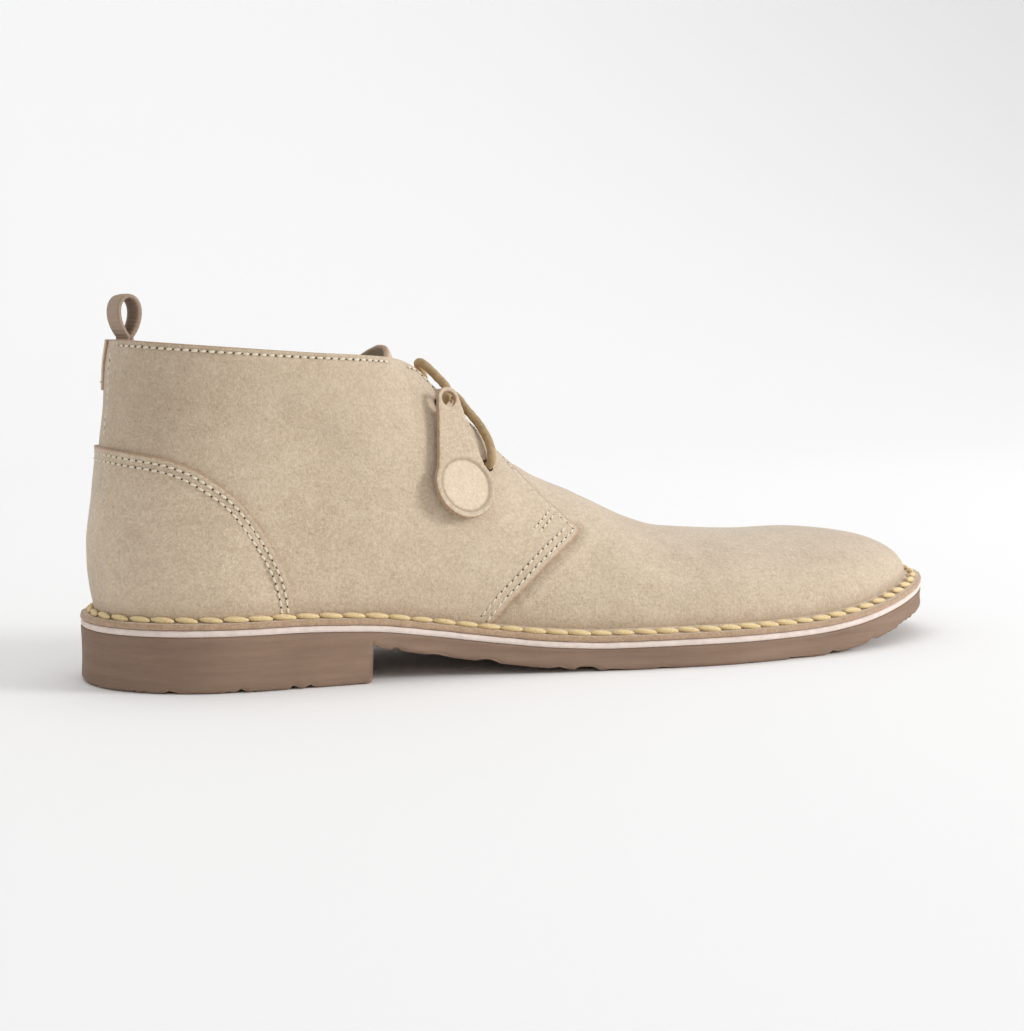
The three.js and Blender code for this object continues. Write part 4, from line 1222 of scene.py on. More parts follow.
def ring_stack(last, name, theta, rows, marks=None):
    """Closed ring-shaped body from rows (margin, function that gives the height over the floor)."""
    rings = []
    for margin, level in rows:
        xy = last.outline(theta, margin)
        rings.append(np.column_stack([xy, level(xy[:, 0])]))
    rings = np.array(rings)
    quads = grid_quads(len(rings) + 1, len(theta), wrap=True) % rings[..., 0].size
    return make_mesh(last, name, rings, quads, marks)


def lifted(level, lift):
    """The height function given, raised by a lift."""
    return lambda x: level(x) + lift


class BOOT_OT_midsole(bpy.types.Operator):
    """Builds the pale layer over the rubber."""

    bl_idname = "boot.midsole"
    bl_label = "Pale layer"
    bl_options = {"REGISTER", "UNDO"}

    def execute(self, context):
        last, _, colours = boot(context)
        margin = last.sole_margin
        top = last.midsole_layer
        theta = np.linspace(0, 2 * np.pi, 640, endpoint=False)
        piece = ring_stack(last, "midsole_edge", theta, [
            (margin + offset, lifted(last.rubber_top, lift)) for offset, lift in (
                (-22, 0.1), (-0.5, 0.1), (-0.15, 0.35), (-0.05, top / 2),
                (-0.15, top - 0.3), (-0.5, top - 0.05), (-22, top - 0.05),
            )
        ])
        use(piece, material("midsole layer", midsole_material, colours))
        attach(piece, "root")
        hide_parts("midsole")
        return {"FINISHED"}


class BOOT_OT_flange(bpy.types.Operator):
    """Builds the suede turned out on the pale layer, with its fillet up to the wall."""

    bl_idname = "boot.flange"
    bl_label = "Turned-out edge"
    bl_options = {"REGISTER", "UNDO"}

    def execute(self, context):
        last, _, colours = boot(context)
        margin = last.sole_margin
        layer = last.flange_layer
        theta = np.linspace(0, 2 * np.pi, 900, endpoint=False)
        ripple = 0.1 * np.sin(theta * 83) + 0.08 * np.sin(theta * 131 + 1)
        rows = (
            (-3.0, 0.1), (margin - 0.5, 0.1), (margin - 0.1, 0.3), (margin, layer * 0.5),
            (margin - 0.15, layer - 0.3), (margin - 0.6, layer - 0.02), (margin - 1.6, layer),
            (2.6, layer - 0.1), (1.7, layer), (1.0, layer + 0.15), (0.5, layer + 0.5),
            (0.15, layer + 0.9), (-0.2, layer + 1.3), (-0.7, layer + 1.6), (-3.0, layer + 1.6),
        )
        offsets = np.array([offset for offset, _ in rows])
        edge = np.repeat(0.8 * (offsets > margin - 0.7), len(theta))
        piece = ring_stack(last, "turned_edge", theta, [
            (offset + ripple * (1.0 if offset > 1 else 0.2), lifted(last.midsole_top, lift))
            for offset, lift in rows
        ], {"edge": edge, "lined": np.zeros(len(edge))})
        use(piece, suede(colours, "quarter"))
        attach(piece, "root")
        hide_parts("upper")
        return {"FINISHED"}


class BOOT_OT_sock(bpy.types.Operator):
    """Builds the footbed, cupped at its edge."""

    bl_idname = "boot.sock"
    bl_label = "Footbed"
    bl_options = {"REGISTER", "UNDO"}

    def execute(self, context):
        last, _, colours = boot(context)
        side_gap, lift, cup_height, sag = 0.5, 0.3, 0.9, 0.35
        margin = -(last.quarter_step + last.vamp_wall + side_gap)
        half, across = 150, 31
        even = np.linspace(0, np.pi, half)
        outer = last.outline(even, margin)
        inner = last.outline(2 * np.pi - even, margin)
        inner[0], inner[-1] = outer[0], outer[-1]
        share = np.linspace(0, 1, across)[None, :, None]
        plan = outer[:, None] * (1 - share) + inner[:, None] * share
        base = last.midsole_top(plan[..., 0]) + lift
        v = np.abs(np.linspace(-1, 1, across))[None, :]
        cup = cup_height * v ** 4 * (1 - smooth(plan[..., 0], 80, 160)) - sag * (1 - v ** 2)
        top = np.dstack([plan, base + last.insole_thickness + cup - lift])
        low = np.dstack([plan, base])
        i, j = grid_loop(half, across)
        rim, count = i * across + j, half * across
        quads = [grid_quads(half, across), grid_quads(half, across, start=count)[:, ::-1]]
        quads.append(band(rim, rim + count))
        points = np.concatenate([top.reshape(-1, 3), low.reshape(-1, 3)])
        piece = make_mesh(last, "footbed", points, np.concatenate(quads))
        use(piece, material("sock leather", leather_material, colours))
        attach(piece, "root")
        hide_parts("insole")
        return {"FINISHED"}


def eyelets(last):
    """(row, side, point on the skin) of each punched hole."""
    found = []
    for row, (at, share) in enumerate(EYELETS):
        for sign in (OUTER, INNER):
            x = at * last.sole_length
            y = float(last.aside(sign, x, share * last.ball_width))
            found.append((row, sign, np.array([x, y, float(last.crown_z(x, y))])))
    return found


def foot_tint(rise, low=1.5, high=7.5):
    """Darker suede just over the flange."""
    return -0.45 * (1 - smooth(rise, low, high))


class BOOT_OT_quarters(bpy.types.Operator):
    """Builds both quarters with their dents, sewn-down rows and punched holes, and the lining."""

    bl_idname = "boot.quarters"
    bl_label = "Quarters and lining"
    bl_options = {"REGISTER", "UNDO"}

    def execute(self, context):
        last, pattern, colours = boot(context)
        for sign, side in ((OUTER, "outer"), (INNER, "inner")):
            w, z = self.grid(last, pattern, sign, last.mesh_step)
            points, normals, _, _ = last.facts(w, z)
            rise = z - last.feather(last.back + w * w)
            tint = foot_tint(rise)
            # Painted light: lighter low towards the front of the quarter, and painted shade high
            # towards the back
            tint = tint + 0.25 * smooth(w * w, 40, 130) * (1 - smooth(rise, 20, 60))
            tint = tint - 0.4 * smooth(rise, 25, 70) * (1 - smooth(w * w, 70, 125))
            points = self.relief(last, pattern, sign, w, rise, points, normals)
            points = self.punched(last, points, normals)
            piece = shell(last, "quarter_" + side, points, normals, last.quarter_step, 0.3, tint)
            use(piece, suede(colours, "quarter"))
            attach(piece, "root")
            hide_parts("upper")

            points, normals, _, _ = last.facts(*self.grid(last, pattern, sign, 2.4))
            points = points - normals * (last.quarter_step + SKIN_GAP)
            points[..., 2] -= 0.5 * np.linspace(0, 1, points.shape[1]) ** 8
            wall = last.quarter_wall - last.quarter_step
            piece = shell(last, "lining_" + side, points, normals, wall, 0.3)
            use(piece, material("sock leather", leather_material, colours))
            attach(piece, "root")
            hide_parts("upper")
        return {"FINISHED"}

    def grid(self, last, pattern, sign, step):
        """Grid of places (w, z) over one quarter, from the back seam to its front edge."""
        front, _ = pattern.front(sign)
        run = run_of(last.on(front[:, 0], front[:, 1]))
        even = np.linspace(0, run[-1], int(run[-1] / step))
        right = sampled(front, run, even)
        up = even / run[-1]
        along = np.linspace(0, 1, int(150 / step))
        top = pattern.collar_z(along * right[-1, 0])
        foot = last.feather(last.back + (along * right[0, 0]) ** 2) + FOOT_LIFT
        left = foot[0] + (top[0] - foot[0]) * up
        a, v = along[:, None], up[None, :]
        z = (1 - a) * left[None] + a * right[None, :, 1]
        z = z + (1 - v) * (foot - (foot[0] + (right[0, 1] - foot[0]) * along))[:, None]
        z = z + v * (top - (top[0] + (right[-1, 1] - top[0]) * along))[:, None]
        return a * right[None, :, 0], z

    def relief(self, last, pattern, sign, w, rise, points, normals):
        """The points with swell, dents, rows pulled in by their thread, and the lap at the back."""
        row_depth, row_width, bulge_beside = 0.26, 0.6, 0.06
        eyelet_depth, eyelet_width = 0.35, 2.6
        shape = swell(points, "quarter") + dent(last, points, DENTS)
        for row in pattern.rows(sign):
            gap, run = polyline_distance(points, skin_line(last, row)[0])
            pull = 0.75 + 0.25 * np.cos(2 * np.pi * run / last.row_pitch)
            shape -= row_depth * pull * bell(gap, row_width)
            shape += bulge_beside * bell(gap - 1.6, 0.8)
        for _, _, hole in eyelets(last):
            shape -= eyelet_depth * bell(np.linalg.norm(points - hole, axis=-1), eyelet_width)
        lap = 0.45 * (1 - smooth(np.abs(w), 0.8, 1.5)) if sign < 0 else 0.0
        return points + normals * (shape * smooth(rise, 0, CALM_RISE) + lap)[..., None]

    def punched(self, last, points, normals):
        """The points moved aside round each eyelet."""
        bore, reach = last.eyelet_bore / 2 * 0.72, 4.5
        for _, _, hole in eyelets(last):
            away = points - hole
            close = np.linalg.norm(away, axis=-1, keepdims=True) < 6
            away -= normals * np.sum(away * normals, -1, keepdims=True)
            gap = np.linalg.norm(away, axis=-1, keepdims=True)
            push = np.where(close & (gap < reach), (bore + gap * (reach - bore) / reach) - gap, 0)
            points = points + unit(away) * push
        return points


class BOOT_OT_vamp(bpy.types.Operator):
    """Builds the vamp over the toe, with the puckered trough along the quarters' seam."""

    bl_idname = "boot.vamp"
    bl_label = "Vamp"
    bl_options = {"REGISTER", "UNDO"}

    def execute(self, context):
        last, pattern, colours = boot(context)
        start = 0.36 * last.sole_length
        along = np.linspace(0, 1, 230)
        x = start + (last.front - start) * np.sin(along * np.pi / 2) ** 1.15
        turn = np.linspace(0, 2, 190)
        sign = np.where(turn < 1, OUTER, INNER)[None, :]
        share = np.sin(np.pi / 2 * (1 - np.abs(turn - 1)))[None, :]
        x = np.repeat(x[:, None], len(turn), axis=1)
        base = last.feather(x) + 0.2
        z = np.maximum(base + (last.ridge(x) - base) * share, last.feather(x))
        points = np.dstack([x + last.lean(x, z), last.side_y(sign, x, z), z])
        away = points - np.dstack([x, last.spine(x), last.feather(x)])
        normals = grid_normals(points, away)
        normals[-1] = unit(normals[-2].mean(axis=0) + np.array([1.5, 0, 0]))
        trough, roll, tongue_sink = 0.55, 0.5, 2.2
        sink = tongue_sink * (1 - smooth(x, 126, 143)) * smooth(share, 0.82, 0.95)
        shape = swell(points, "vamp") + dent(last, points, VAMP_DENTS)
        tint = np.zeros(x.shape)
        for side in (OUTER, INNER):
            front, corner = pattern.front(side)
            gap, run = polyline_distance(points, skin_line(last, front[: corner + 4])[0])
            same = smooth(points[..., 1] * side, -6, 2)
            pucker = 1 + 0.35 * np.sin(2 * np.pi * run / (2 * last.row_pitch))
            begun = smooth(run, 6, 14)
            shape -= same * trough * pucker * bell(gap, 1.5)
            shape += same * roll * bell(gap - 4.6, 1.9) * begun
            # Painted shadow of the quarter's edge along the seam, and a painted highlight on the
            # roll beside it
            tint -= same * 0.9 * bell(gap, 1.1)
            tint += same * 0.5 * bell(gap - 4.4, 0.7) * begun
        rise = points[..., 2] - last.feather(x)
        lift = shape * smooth(rise, 0, CALM_RISE) - (last.quarter_step + sink)
        points = points + normals * lift[..., None]
        tint += foot_tint(rise)
        piece = shell(last, "vamp", points, normals, last.vamp_wall - 0.2, 0.25, tint)
        use(piece, suede(colours, "vamp"))
        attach(piece, "root")
        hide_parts("upper")
        return {"FINISHED"}


class BOOT_OT_overlays(bpy.types.Operator):
    """Builds the heel counter and the half-moon tab."""

    bl_idname = "boot.overlays"
    bl_label = "Counter and tab"
    bl_options = {"REGISTER", "UNDO"}

    def execute(self, context):
        last, pattern, colours = boot(context)
        columns, rows, foot_lift, row_depth, row_width = 260, 70, 0.8, 0.24, 0.6
        edge = pattern.counter_edge()
        run = run_of(last.on(edge[:, 0], edge[:, 1]))
        top = sampled(edge, run, np.linspace(0, run[-1], columns))
        foot = (last.feather(last.back + top[:, 0] ** 2) + foot_lift)[:, None]
        rise = np.linspace(0, 1, rows)[None, :]
        z = foot + np.maximum(top[:, 1:] - foot, 0.6) * rise
        points, normals, _, _ = last.facts(np.repeat(top[:, :1], rows, axis=1), z)
        shape = swell(points, "counter")
        for distance in COUNTER_ROWS:
            line, _ = skin_line(last, pattern.offset(edge, distance))
            shape -= row_depth * bell(polyline_distance(points, line)[0], row_width)
        gap, _ = polyline_distance(points, skin_line(last, edge)[0])
        lift = last.overlay_wall + OVERLAY_LIFT + 0.2 * bell(gap, 1.2)
        calm = smooth(z - foot, 0, CALM_RISE)
        points = points + normals * (shape * calm * 0.8 + lift)[..., None]
        tint = foot_tint(z - foot, 1, 6.5)
        wall = last.overlay_wall + 0.1
        piece = shell(last, "heel_counter", points, normals, wall, 0.35, tint)
        use(piece, suede(colours, "counter"))
        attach(piece, "root")
        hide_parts("counter")

        columns, rows = 60, 34
        edge = pattern.tab_edge()
        across = np.linspace(0, edge[-1, 0], columns)
        collar = pattern.collar_z(across) - 0.15
        low = np.minimum(np.interp(across, edge[:, 0], edge[:, 1]), collar - 0.4)
        z = low[:, None] + (collar - low)[:, None] * np.linspace(0, 1, rows)[None, :]
        points, normals, _, _ = last.facts(np.repeat(across[:, None], rows, axis=1), z)
        points = points + normals * (last.overlay_wall + TAB_LIFT)
        piece = shell(last, "collar_tab", points, normals, last.overlay_wall, 0.3)
        use(piece, suede(colours, "counter"))
        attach(piece, "root")
        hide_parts("back_tab")
        return {"FINISHED"}


class BOOT_OT_tongue(bpy.types.Operator):
    """Builds the tongue under the facings, up to its rounded tip."""

    bl_idname = "boot.tongue"
    bl_label = "Tongue"
    bl_options = {"REGISTER", "UNDO"}

    def execute(self, context):
        last, pattern, colours = boot(context)
        columns, rows, gap, tip_curl = 61, 90, 0.35, 1.6
        across = np.linspace(-1, 1, columns)
        front = pattern.throat_front + 8
        top = last.collar_back * 0.948 + last.tongue_rise
        target = top - last.tongue_tip * (1 - np.sqrt(np.clip(1 - across ** 2, 0, 1)))

        def surface(x, v):
            y = last.spine(x) + v * last.tongue_width / 2 * np.where(v < 0, 1.0, 0.86)
            sink = last.wall_of(x) + gap + (last.tongue_drop - gap) * (1 - smooth(x, 124, 139))
            return last.over(x, y, -sink)

        low = np.full(across.shape, 82.0)
        high = np.full(across.shape, front - 20.0)
        for _ in range(24):
            x = (low + high) / 2
            above = surface(x, across)[0][..., 2] > target
            low = np.where(above, x, low)
            high = np.where(above, high, x)
        tip = (low + high) / 2
        share = np.linspace(0, 1, rows)[:, None]
        x = front + (tip[None, :] - front) * share
        points, normals = surface(x, np.repeat(across[None, :], rows, axis=0))
        curl = smooth(share, 0.86, 1.0) ** 2
        points = points + normals * (tip_curl * curl + swell(points, "tongue"))[..., None]
        piece = shell(last, "tongue_leaf", points, normals, last.tongue_wall - 0.4, 0.6)
        use(piece, suede(colours, "vamp"))
        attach(piece, "root")
        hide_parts("tongue")
        return {"FINISHED"}


class BOOT_OT_loop(bpy.types.Operator):
    """Builds the ribbed pull loop at the back of the collar."""

    bl_idname = "boot.loop"
    bl_label = "Pull loop"
    bl_options = {"REGISTER", "UNDO"}

    def execute(self, context):
        last, _, colours = boot(context)
        wall, step, pitch, side_columns = last.tape_wall, 0.2, 1.3, 15
        seat = last.back_lean * float(last.back_share(1.0)) + last.quarter_wall + 1.1
        middle = seat + wall
        half = 0.27 * last.loop_height - wall / 2
        low = last.collar_back + 0.6 * wall
        high = last.collar_back + last.loop_height - wall / 2
        turn = np.linspace(0, 2 * np.pi, 90)[4:-4]
        swell = np.sin(turn) * np.abs(np.sin(turn / 2)) ** 0.6 / 0.84
        level = low + (high - low) * 0.5 * (1 - np.cos(turn))
        eye = np.stack([middle + half * swell, level], -1)
        end = last.collar_back - last.loop_height + 3
        back, front = middle + wall * 0.52, middle - wall * 0.52
        first = np.array([[back, end], [back, low - 1.5]])
        second = np.array([[front, low - 1.5], [front, end]])
        path = rounded(np.concatenate([first, eye, second]), step, 0.7)
        tangent = unit(np.gradient(path, axis=0))
        outward = np.stack([tangent[:, 1], -tangent[:, 0]], -1)
        rib = 0.5 + 0.5 * np.sin(2 * np.pi * np.arange(len(path)) * step / pitch)
        open_part = path[:, 1] > low
        bow = 0.5 * np.sin(np.pi * (path[:, 1] - low) / (high - low)) * open_part
        width = last.loop_tape / 2
        across = np.linspace(-1, 1, side_columns)
        columns = [(y, 1) for y in across] + [(y, -1) for y in across[::-1]]
        rings = np.zeros((len(path), len(columns), 3))
        ribs = np.zeros((len(path), len(columns)))
        for k, (y, side) in enumerate(columns):
            selvedge = abs(y) > 0.9
            thick = wall / 2 * (1 - 0.35 * abs(y) ** 6)
            thick = thick + (0.12 if selvedge else 0.2 * (rib - 0.5))
            centre = path + outward * (side * thick * np.ones(len(path)))[:, None]
            rings[:, k, 0] = centre[:, 0] - 0.1 * width * y
            rings[:, k, 1] = width * y + bow * 0.2
            rings[:, k, 2] = centre[:, 1]
            # The rib mark also darkens the tape's colour in its grooves, as painted shade
            ribs[:, k] = 1.3 if selvedge else rib
        # Painted shade: the inner face of the open loop is made darker
        inside = np.zeros_like(ribs)
        inside[:, side_columns:] = open_part[:, None] * 0.55
        quads = capped_quads(len(path), len(columns))
        piece = make_mesh(last, "loop_tape", rings, quads, {"rib": ribs, "inside": inside})
        use(piece, material("tape", tape_material, colours))
        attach(piece, "root")
        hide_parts("pull_loop")
        return {"FINISHED"}


def laced(last, row, sign, rows):
    """Points over the skin, from (distance ahead, share of the eyelet's place, lace widths up)."""
    at, share = EYELETS[row]
    x = at * last.sole_length
    reach = float(last.aside(sign, x, share * last.ball_width)) - float(last.spine(x))
    points = []
    for ahead, aside, lift in rows:
        place = float(last.spine(x + ahead)) + aside * reach
        points.append(last.over(x + ahead, place, lift * last.lace_width)[0])
    return np.array(points)


class BOOT_OT_laces(bpy.types.Operator):
    """Builds the lace: the hidden bar, the crossing and the slack top bar."""

    bl_idname = "boot.laces"
    bl_label = "Lace"
    bl_options = {"REGISTER", "UNDO"}

    def execute(self, context):
        last, _, colours = boot(context)
        look = material("lace cord", cord_material, colours)

        def cord(name, parts):
            path = rounded(curved(np.concatenate(parts)), 0.45, 0.45)
            piece = tube(last, name, path, last.lace_width / 2)
            use(piece, look)
            return piece

        def crossing(sign, over_spine, dip):
            return laced(last, 0, sign, [
                (0, 1, -1.3), (0, 1, -0.5), (0, 1, 0.45), (0.3, 0.9, 0.85), (0.4, 0.74, 0.85),
                (-0.4, 0.5, 0.75), (-3, 0.25, 0.8), (-6, 0.02, over_spine),
                (-8.6, dip * 0.6, 0.45), (-10.2, dip, -0.35), (-11.6, dip * 1.5, -1.35),
                (-13, dip * 2.1, -1.5),
            ])

        def bar(sign):
            return laced(last, 1, sign, [
                (0, 1, -1.3), (0, 1, -0.5), (0, 1, 0.5), (0.4, 0.95, 0.95), (1.5, 0.8, 1.1),
                (1.6, 0.68, 1.15), (0.6, 0.42, 1.0), (-2.6, 0.16, 0.95),
            ])

        under = [(0.6, 0.8, -1.62), (1.2, 0.4, -1.25), (1.6, 0, -1.2)]
        piece = cord("lace_crossed", [
            crossing(OUTER, 1.15, -0.31)[::-1], laced(last, 0, OUTER, under),
            laced(last, 0, INNER, under[1::-1]), crossing(INNER, 0.25, -0.56),
        ])
        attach(piece, "root")
        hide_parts("lace_crossing")

        piece = cord("lace_top", [bar(OUTER), bar(INNER)[::-1]])
        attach(piece, "root")
        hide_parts("lace_top_bar")
        return {"FINISHED"}


def closed(line):
    """A loop of points with its first point at the end again."""
    return np.concatenate([line, line[:1]])


def loop_normals(loop):
    """Directions away from a loop that runs anticlockwise, in its plane."""
    tangent = unit(np.roll(loop, -1, axis=0) - np.roll(loop, 1, axis=0))
    return np.stack([tangent[:, 1], -tangent[:, 0]], -1)


def within(points, loop):
    """Which points lie inside a loop, by the crossings of a line to their right."""
    found = []
    a, b = closed(loop)[:-1], closed(loop)[1:]
    slope = (b[:, 0] - a[:, 0]) / np.where(b[:, 1] == a[:, 1], 1, b[:, 1] - a[:, 1])
    for x, y in points:
        crosses = (a[:, 1] > y) != (b[:, 1] > y)
        found.append(np.count_nonzero(crosses & (a[:, 0] + (y - a[:, 1]) * slope > x)) % 2 == 1)
    return np.array(found)


def plate(last, name, outline, hole, spacing, height, place):
    """A flat leather piece from its outline and one round hole, both faces raised by height."""
    centre = hole.mean(axis=0)
    radius = np.linalg.norm(hole[0] - centre)
    points = [outline, hole]
    for inset in (0.18, 0.45, 0.8):
        points += [outline - loop_normals(outline) * inset, hole + loop_normals(hole) * inset]
    ranges = [np.arange(low, high, spacing) for low, high in zip(outline.min(0), outline.max(0))]
    grid = np.stack(np.meshgrid(*ranges), -1).reshape(-1, 2)

    def gaps(at):
        return [polyline_distance(at, closed(loop))[0] for loop in (outline, hole)]

    edge_gap, hole_gap = gaps(grid)
    outside = np.linalg.norm(grid - centre, axis=1) > radius
    points.append(grid[(edge_gap > 1.0) & (hole_gap > 1.0) & outside])
    edges = []
    for start, count in ((0, len(outline)), (len(outline), len(hole))):
        edges += [(start + i, start + (i + 1) % count) for i in range(count)]
    made = delaunay_2d_cdt([Vector(p) for p in np.concatenate(points)], edges, [], 0, 1e-5)
    flat = np.array([tuple(p) for p in made[0]])
    middles = np.array([flat[list(face)].mean(axis=0) for face in made[2]])
    kept = within(middles, outline) & (np.linalg.norm(middles - centre, axis=1) > radius * 0.985)
    gap = np.minimum(*gaps(flat))
    front, back, tint_and_painted_light = height(flat, gap)
    work = bmesh.new()
    edge_mark = work.verts.layers.float.new("edge")
    tint_and_light_mark = work.verts.layers.float.new("tint_and_painted_light")
    tops, lows = (
        [work.verts.new(last.place(place(u, v, h)).tolist()) for (u, v), h in zip(flat, side)]
        for side in (front, back)
    )
    for i, distance in enumerate(gap):
        tops[i][edge_mark] = lows[i][edge_mark] = float(distance < 0.4)
        tops[i][tint_and_light_mark] = float(tint_and_painted_light[i])
    for i in np.flatnonzero(kept):
        work.faces.new([tops[k] for k in made[2][i]])
        work.faces.new([lows[k] for k in reversed(made[2][i])])
    pair = dict(zip(tops, lows))
    for edge in [edge for edge in work.edges if len(edge.link_faces) == 1]:
        a, b = edge.verts
        if a in pair and b in pair:
            work.faces.new([a, b, pair[b], pair[a]])
    loose = [vert for vert in work.verts if not vert.link_faces]
    bmesh.ops.delete(work, geom=loose, context="VERTS")
    bmesh.ops.recalc_face_normals(work, faces=work.faces)
    for face in work.faces:
        face.smooth = True
    data = bpy.data.meshes.new(name)
    work.to_mesh(data)
    work.free()
    return placed(name, data)


class BOOT_OT_fob(bpy.types.Operator):
    """Builds the leather fob with a plain debossed ring."""

    bl_idname = "boot.fob"
    bl_label = "Fob"
    bl_options = {"REGISTER", "UNDO"}

    def execute(self, context):
        last, _, colours = boot(context)
        x, z = 0.369 * last.sole_length, 1.34 * last.instep_height
        w = np.array([float(last.w_of(OUTER, x, z))])
        contact, out, _, _ = last.facts(w, np.array([z]))
        contact, out = contact[0], out[0]
        up = unit(np.array([0, 0, 1.0]) - out * out[2])
        right = np.cross(up, out)
        contact = contact + out * 1.2
        hang = next(point for row, sign, point in eyelets(last) if row == 1 and sign == OUTER)
        above = hang - contact
        hole = contact + above - out * float(above @ out)
        disc, neck = 0.52 * last.fob_width, last.fob_neck / 2
        drop = last.fob_length - disc - neck
        wall = last.fob_wall

        def arc(y, radius, angles):
            return [(radius * math.cos(t), y + radius * math.sin(t)) for t in angles]

        def flank(start, side, end):
            share = np.linspace(0, 1, 24)[1:-1, None]
            p, q, r = np.array(start), np.array((side * 0.57 * disc, -0.42 * drop)), np.array(end)
            return list((1 - share) ** 2 * p + 2 * share * (1 - share) * q + share ** 2 * r)

        low = arc(-drop, disc, np.linspace(math.radians(144), math.radians(396), 90))
        top = arc(0, neck, np.linspace(0, math.pi, 22))
        outline = low + flank(low[-1], 1, top[0]) + top + flank(top[-1], -1, low[0])
        outline = np.array(outline)
        ragged = np.random.default_rng(5).normal(size=len(outline)) * 0.05
        outline = outline + loop_normals(outline) * ragged[:, None]
        bore = np.array(arc(0, last.fob_bore / 2 * 0.75, np.linspace(0, 2 * math.pi, 25)[:-1]))

        def height(flat, gap):
            radius = np.hypot(flat[:, 0], flat[:, 1] + drop)
            ring = bell(radius - 0.8 * disc, 0.45)
            field = 1 - smooth(radius, 0.72 * disc, 0.8 * disc)
            press = -0.5 * ring - 0.25 * field
            edge = np.sqrt(np.clip(1 - (1 - np.clip(gap / 0.75, 0, 1)) ** 2, 0, 1))
            middle = wall / 2 + 0.25 * np.sin(flat[:, 1] / 9)
            half = wall * (0.16 + 0.34 * edge)
            # The third value is the tint: lighter over the disc's field, darker in the sunk ring
            return middle + half + press, middle - half, field - 1.4 * ring

        def place(u, v, h):
            return hole + right * u + up * v + out * h

        piece = plate(last, "fob_leather", outline, bore, 0.45, height, place)
        use(piece, suede(colours, "fob"))
        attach(piece, "root")
        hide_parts("fob")
        return {"FINISHED"}


class BOOT_OT_stitches(bpy.types.Operator):
    """Sews the rows on the upper and the thick stitches on the flange."""

    bl_idname = "boot.stitches"
    bl_label = "Stitches"
    bl_options = {"REGISTER", "UNDO"}

    def execute(self, context):
        last, pattern, colours = boot(context)
        thread = material("row thread", thread_material, "row thread", colours.row_thread, 2400)
        # Dark bodies in the stitch holes and under the eyelets: painted shade
        dark = material("stitch hole shade", hole_shade_material, colours)
        lines = [(row, 0.0) for sign in (OUTER, INNER) for row in pattern.rows(sign)]
        for distance in COUNTER_ROWS:
            row = pattern.trimmed(pattern.offset(pattern.counter_edge(), distance), 1.5, 1.5)
            lines.append((row, last.overlay_wall + OVERLAY_LIFT))
        tab = pattern.trimmed(pattern.offset(pattern.tab_edge(), -2.2), 0.5, 2.5)
        lines.append((tab, last.overlay_wall + TAB_LIFT))
        z = np.linspace(last.seat + last.counter_height + 3.5, last.collar_back - 3.5, 40)
        lines.append((np.stack([np.full(len(z), -0.62), z], -1), 0.45))
        rows, holes = [], []
        for line, lift in lines:
            points, normals = skin_line(last, line, lift - 0.08)
            at, up, along = even_points(points, normals, last.row_pitch)
            rows.append((at, up, along))
            holes.append((at - along * last.row_pitch / 2 + up * 0.02, up, along))
        piece = scatter(last, "upper_stitches", rows, (1.95, 0.82, 0.95), 0.1, 0.06, thread)
        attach(piece, "root")
        # A dark disc under each eyelet, painted shade where the lace goes through
        spots = [last.over(hole[0], hole[1], -0.15) for _, _, hole in eyelets(last)]
        at, up = (np.array(column) for column in zip(*spots))
        along = unit(np.cross(up, np.array([0.0, 1.0, 0.0])))
        extent = (last.eyelet_bore, last.eyelet_bore, 0.7)
        piece = scatter(last, "lace_hole_shade", [(at, up, along)], extent, 0.0, 0.0, dark)
        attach(piece, "root")
        piece = scatter(last, "upper_pinhole_shade", holes, (0.62, 0.5, 0.3), 0.0, 0.12, dark)
        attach(piece, "root")

        theta = np.linspace(0, 2 * np.pi, 1441)
        xy = last.outline(theta, 2.0)
        points = np.column_stack([xy, last.feather(xy[:, 0]) + 0.75])
        outward = unit(xy - last.outline(theta, 0.0))
        normals = unit(np.column_stack([outward * 0.45, np.full(len(xy), 0.9)]))
        found = even_points(points, normals, last.welt_pitch)
        gold = material("welt thread", thread_material, "welt thread", colours.welt_thread, 1500)
        piece = scatter(last, "welt_stitches", [found], (7.5, 2.15, 1.9), -0.17, 0.06, gold)
        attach(piece, "root")
        return {"FINISHED"}


def aimed(made, place, target):
    """Sets a lamp or the camera at a place, turned to a target."""
    made.location = place
    made.rotation_euler = (Vector(target) - made.location).to_track_quat("-Z", "Y").to_euler()
    return made


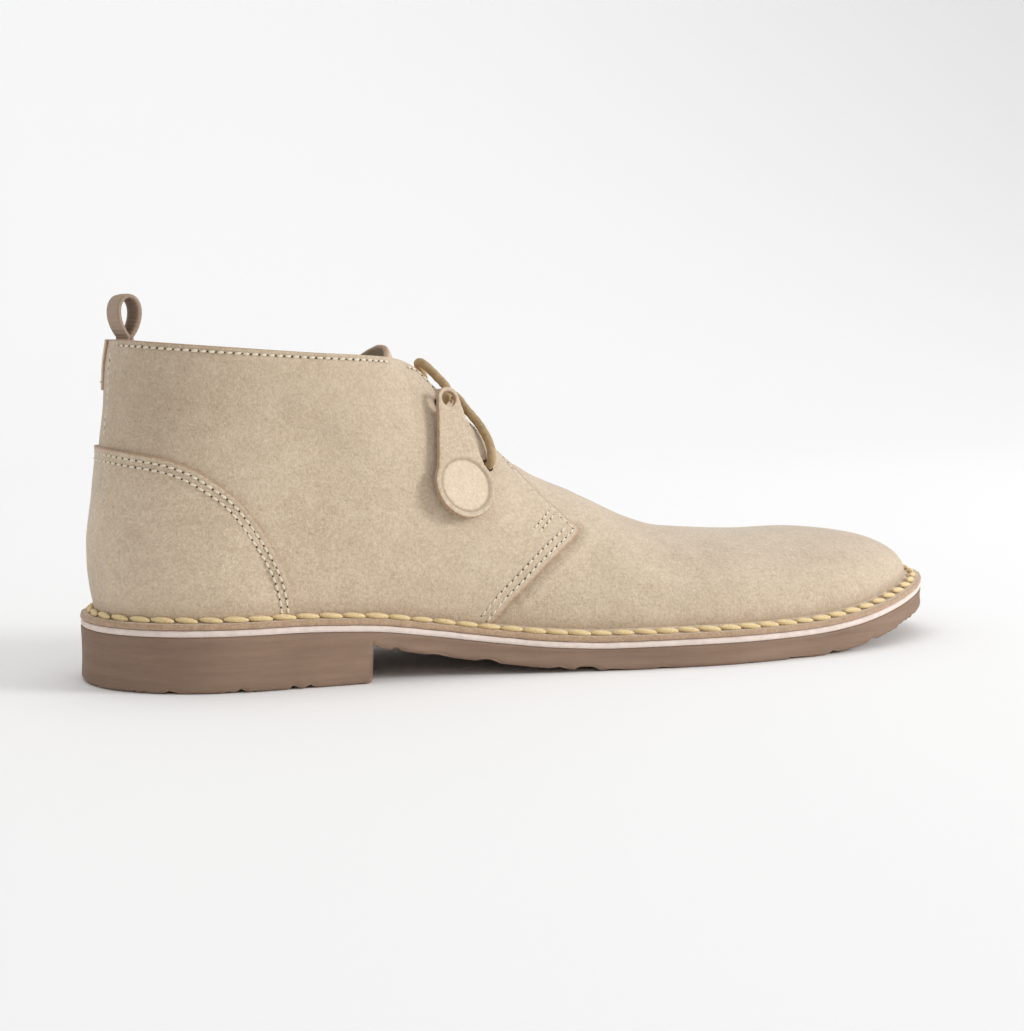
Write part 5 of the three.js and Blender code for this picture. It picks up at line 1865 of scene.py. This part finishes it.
class BOOT_OT_stage(bpy.types.Operator):
    """Sets the pale floor, the soft lights and the camera."""

    bl_idname = "boot.stage"
    bl_label = "Stage"
    bl_options = {"REGISTER", "UNDO"}

    def execute(self, context):
        scene = context.scene
        start, radius, half = 0.9, 2.6, 5.0
        profile = [(-3.0, 0.0), (start, 0.0)]
        for t in np.linspace(0.04, math.pi / 2, 30):
            profile.append((start + radius * math.sin(t), radius * (1 - math.cos(t))))
        profile.append((start + radius, 5.0))
        points = [(x, y, z) for y, z in profile for x in (-half, half)]
        faces = [(2 * i, 2 * i + 1, 2 * i + 3, 2 * i + 2) for i in range(len(profile) - 1)]
        data = bpy.data.meshes.new("floor")
        data.from_pydata(points, [], faces)
        data.polygons.foreach_set("use_smooth", [True] * len(faces))
        data.update()
        floor = placed("floor", data)
        use(floor, material("floor", floor_material, scene.boot_colours))
        floor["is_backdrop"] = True

        world = bpy.data.worlds.new("studio")
        world.use_nodes = True
        background = world.node_tree.nodes["Background"]
        background.inputs["Color"].default_value = (1, 1, 1, 1)
        background.inputs["Strength"].default_value = 0.62
        scene.world = world
        # Each lamp's place, width and power, and what it is turned to
        for name, place, width, power, target in (
            ("key", (2.0, -1.2, 0.9), 0.9, 38.0, (0, 0, 0.05)),
            ("top", (0.3, 0.5, 2.8), 3.0, 3.0, (0, 0, 0.05)),
            ("backdrop", (0.0, 0.7, 2.6), 2.0, 16.0, (0, 2.4, 1.0)),
        ):
            light = bpy.data.lights.new(name, "AREA")
            light.shape = "DISK"
            light.size = width
            light.energy = power
            aimed(placed(name, light), place, target)
        camera = bpy.data.cameras.new("camera")
        camera.lens = 66
        camera.dof.use_dof = False
        eye, target = (-0.2419, -0.5807, 0.109), (-0.008, 0.0, 0.046)
        scene.camera = aimed(placed("camera", camera), eye, target)
        scene.view_settings.view_transform = "Standard"
        return {"FINISHED"}


class BOOT_PT_panel(bpy.types.Panel):
    """Sizes, colours and steps of the boot."""

    bl_idname = "BOOT_PT_panel"
    bl_label = "Chukka boot"
    bl_space_type = "VIEW_3D"
    bl_region_type = "UI"
    bl_category = "Boot"

    def draw(self, context):
        layout = self.layout
        for step in STEPS:
            layout.operator(step.bl_idname)
        for group in (context.scene.boot_sizes, context.scene.boot_colours):
            for name in group.__annotations__:
                layout.prop(group, name)


STEPS = (
    BOOT_OT_sole, BOOT_OT_midsole, BOOT_OT_flange, BOOT_OT_sock, BOOT_OT_quarters, BOOT_OT_vamp,
    BOOT_OT_overlays, BOOT_OT_tongue, BOOT_OT_loop, BOOT_OT_laces, BOOT_OT_fob,
    BOOT_OT_stitches, BOOT_OT_stage,
)
CLASSES = (BootSizes, BootColours, *STEPS, BOOT_PT_panel)


def register():
    """Registers the classes and the scene's groups of values."""
    for item in CLASSES:
        bpy.utils.register_class(item)
    bpy.types.Scene.boot_sizes = bpy.props.PointerProperty(type=BootSizes)
    bpy.types.Scene.boot_colours = bpy.props.PointerProperty(type=BootColours)


def unregister():
    """Takes the classes and the scene's groups of values away."""
    del bpy.types.Scene.boot_colours
    del bpy.types.Scene.boot_sizes
    for item in reversed(CLASSES):
        bpy.utils.unregister_class(item)


def main():
    """Builds the boot and measures how large it is, before and after."""
    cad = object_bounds()
    register()
    for step in STEPS:
        group, name = step.bl_idname.split(".")
        getattr(getattr(bpy.ops, group), name)()
    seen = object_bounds()
    plain = lambda box: [[float(value) for value in corner] for corner in box]
    {"cad": plain(cad), "visual": plain(seen)}


if __name__ == "__main__":
    main()
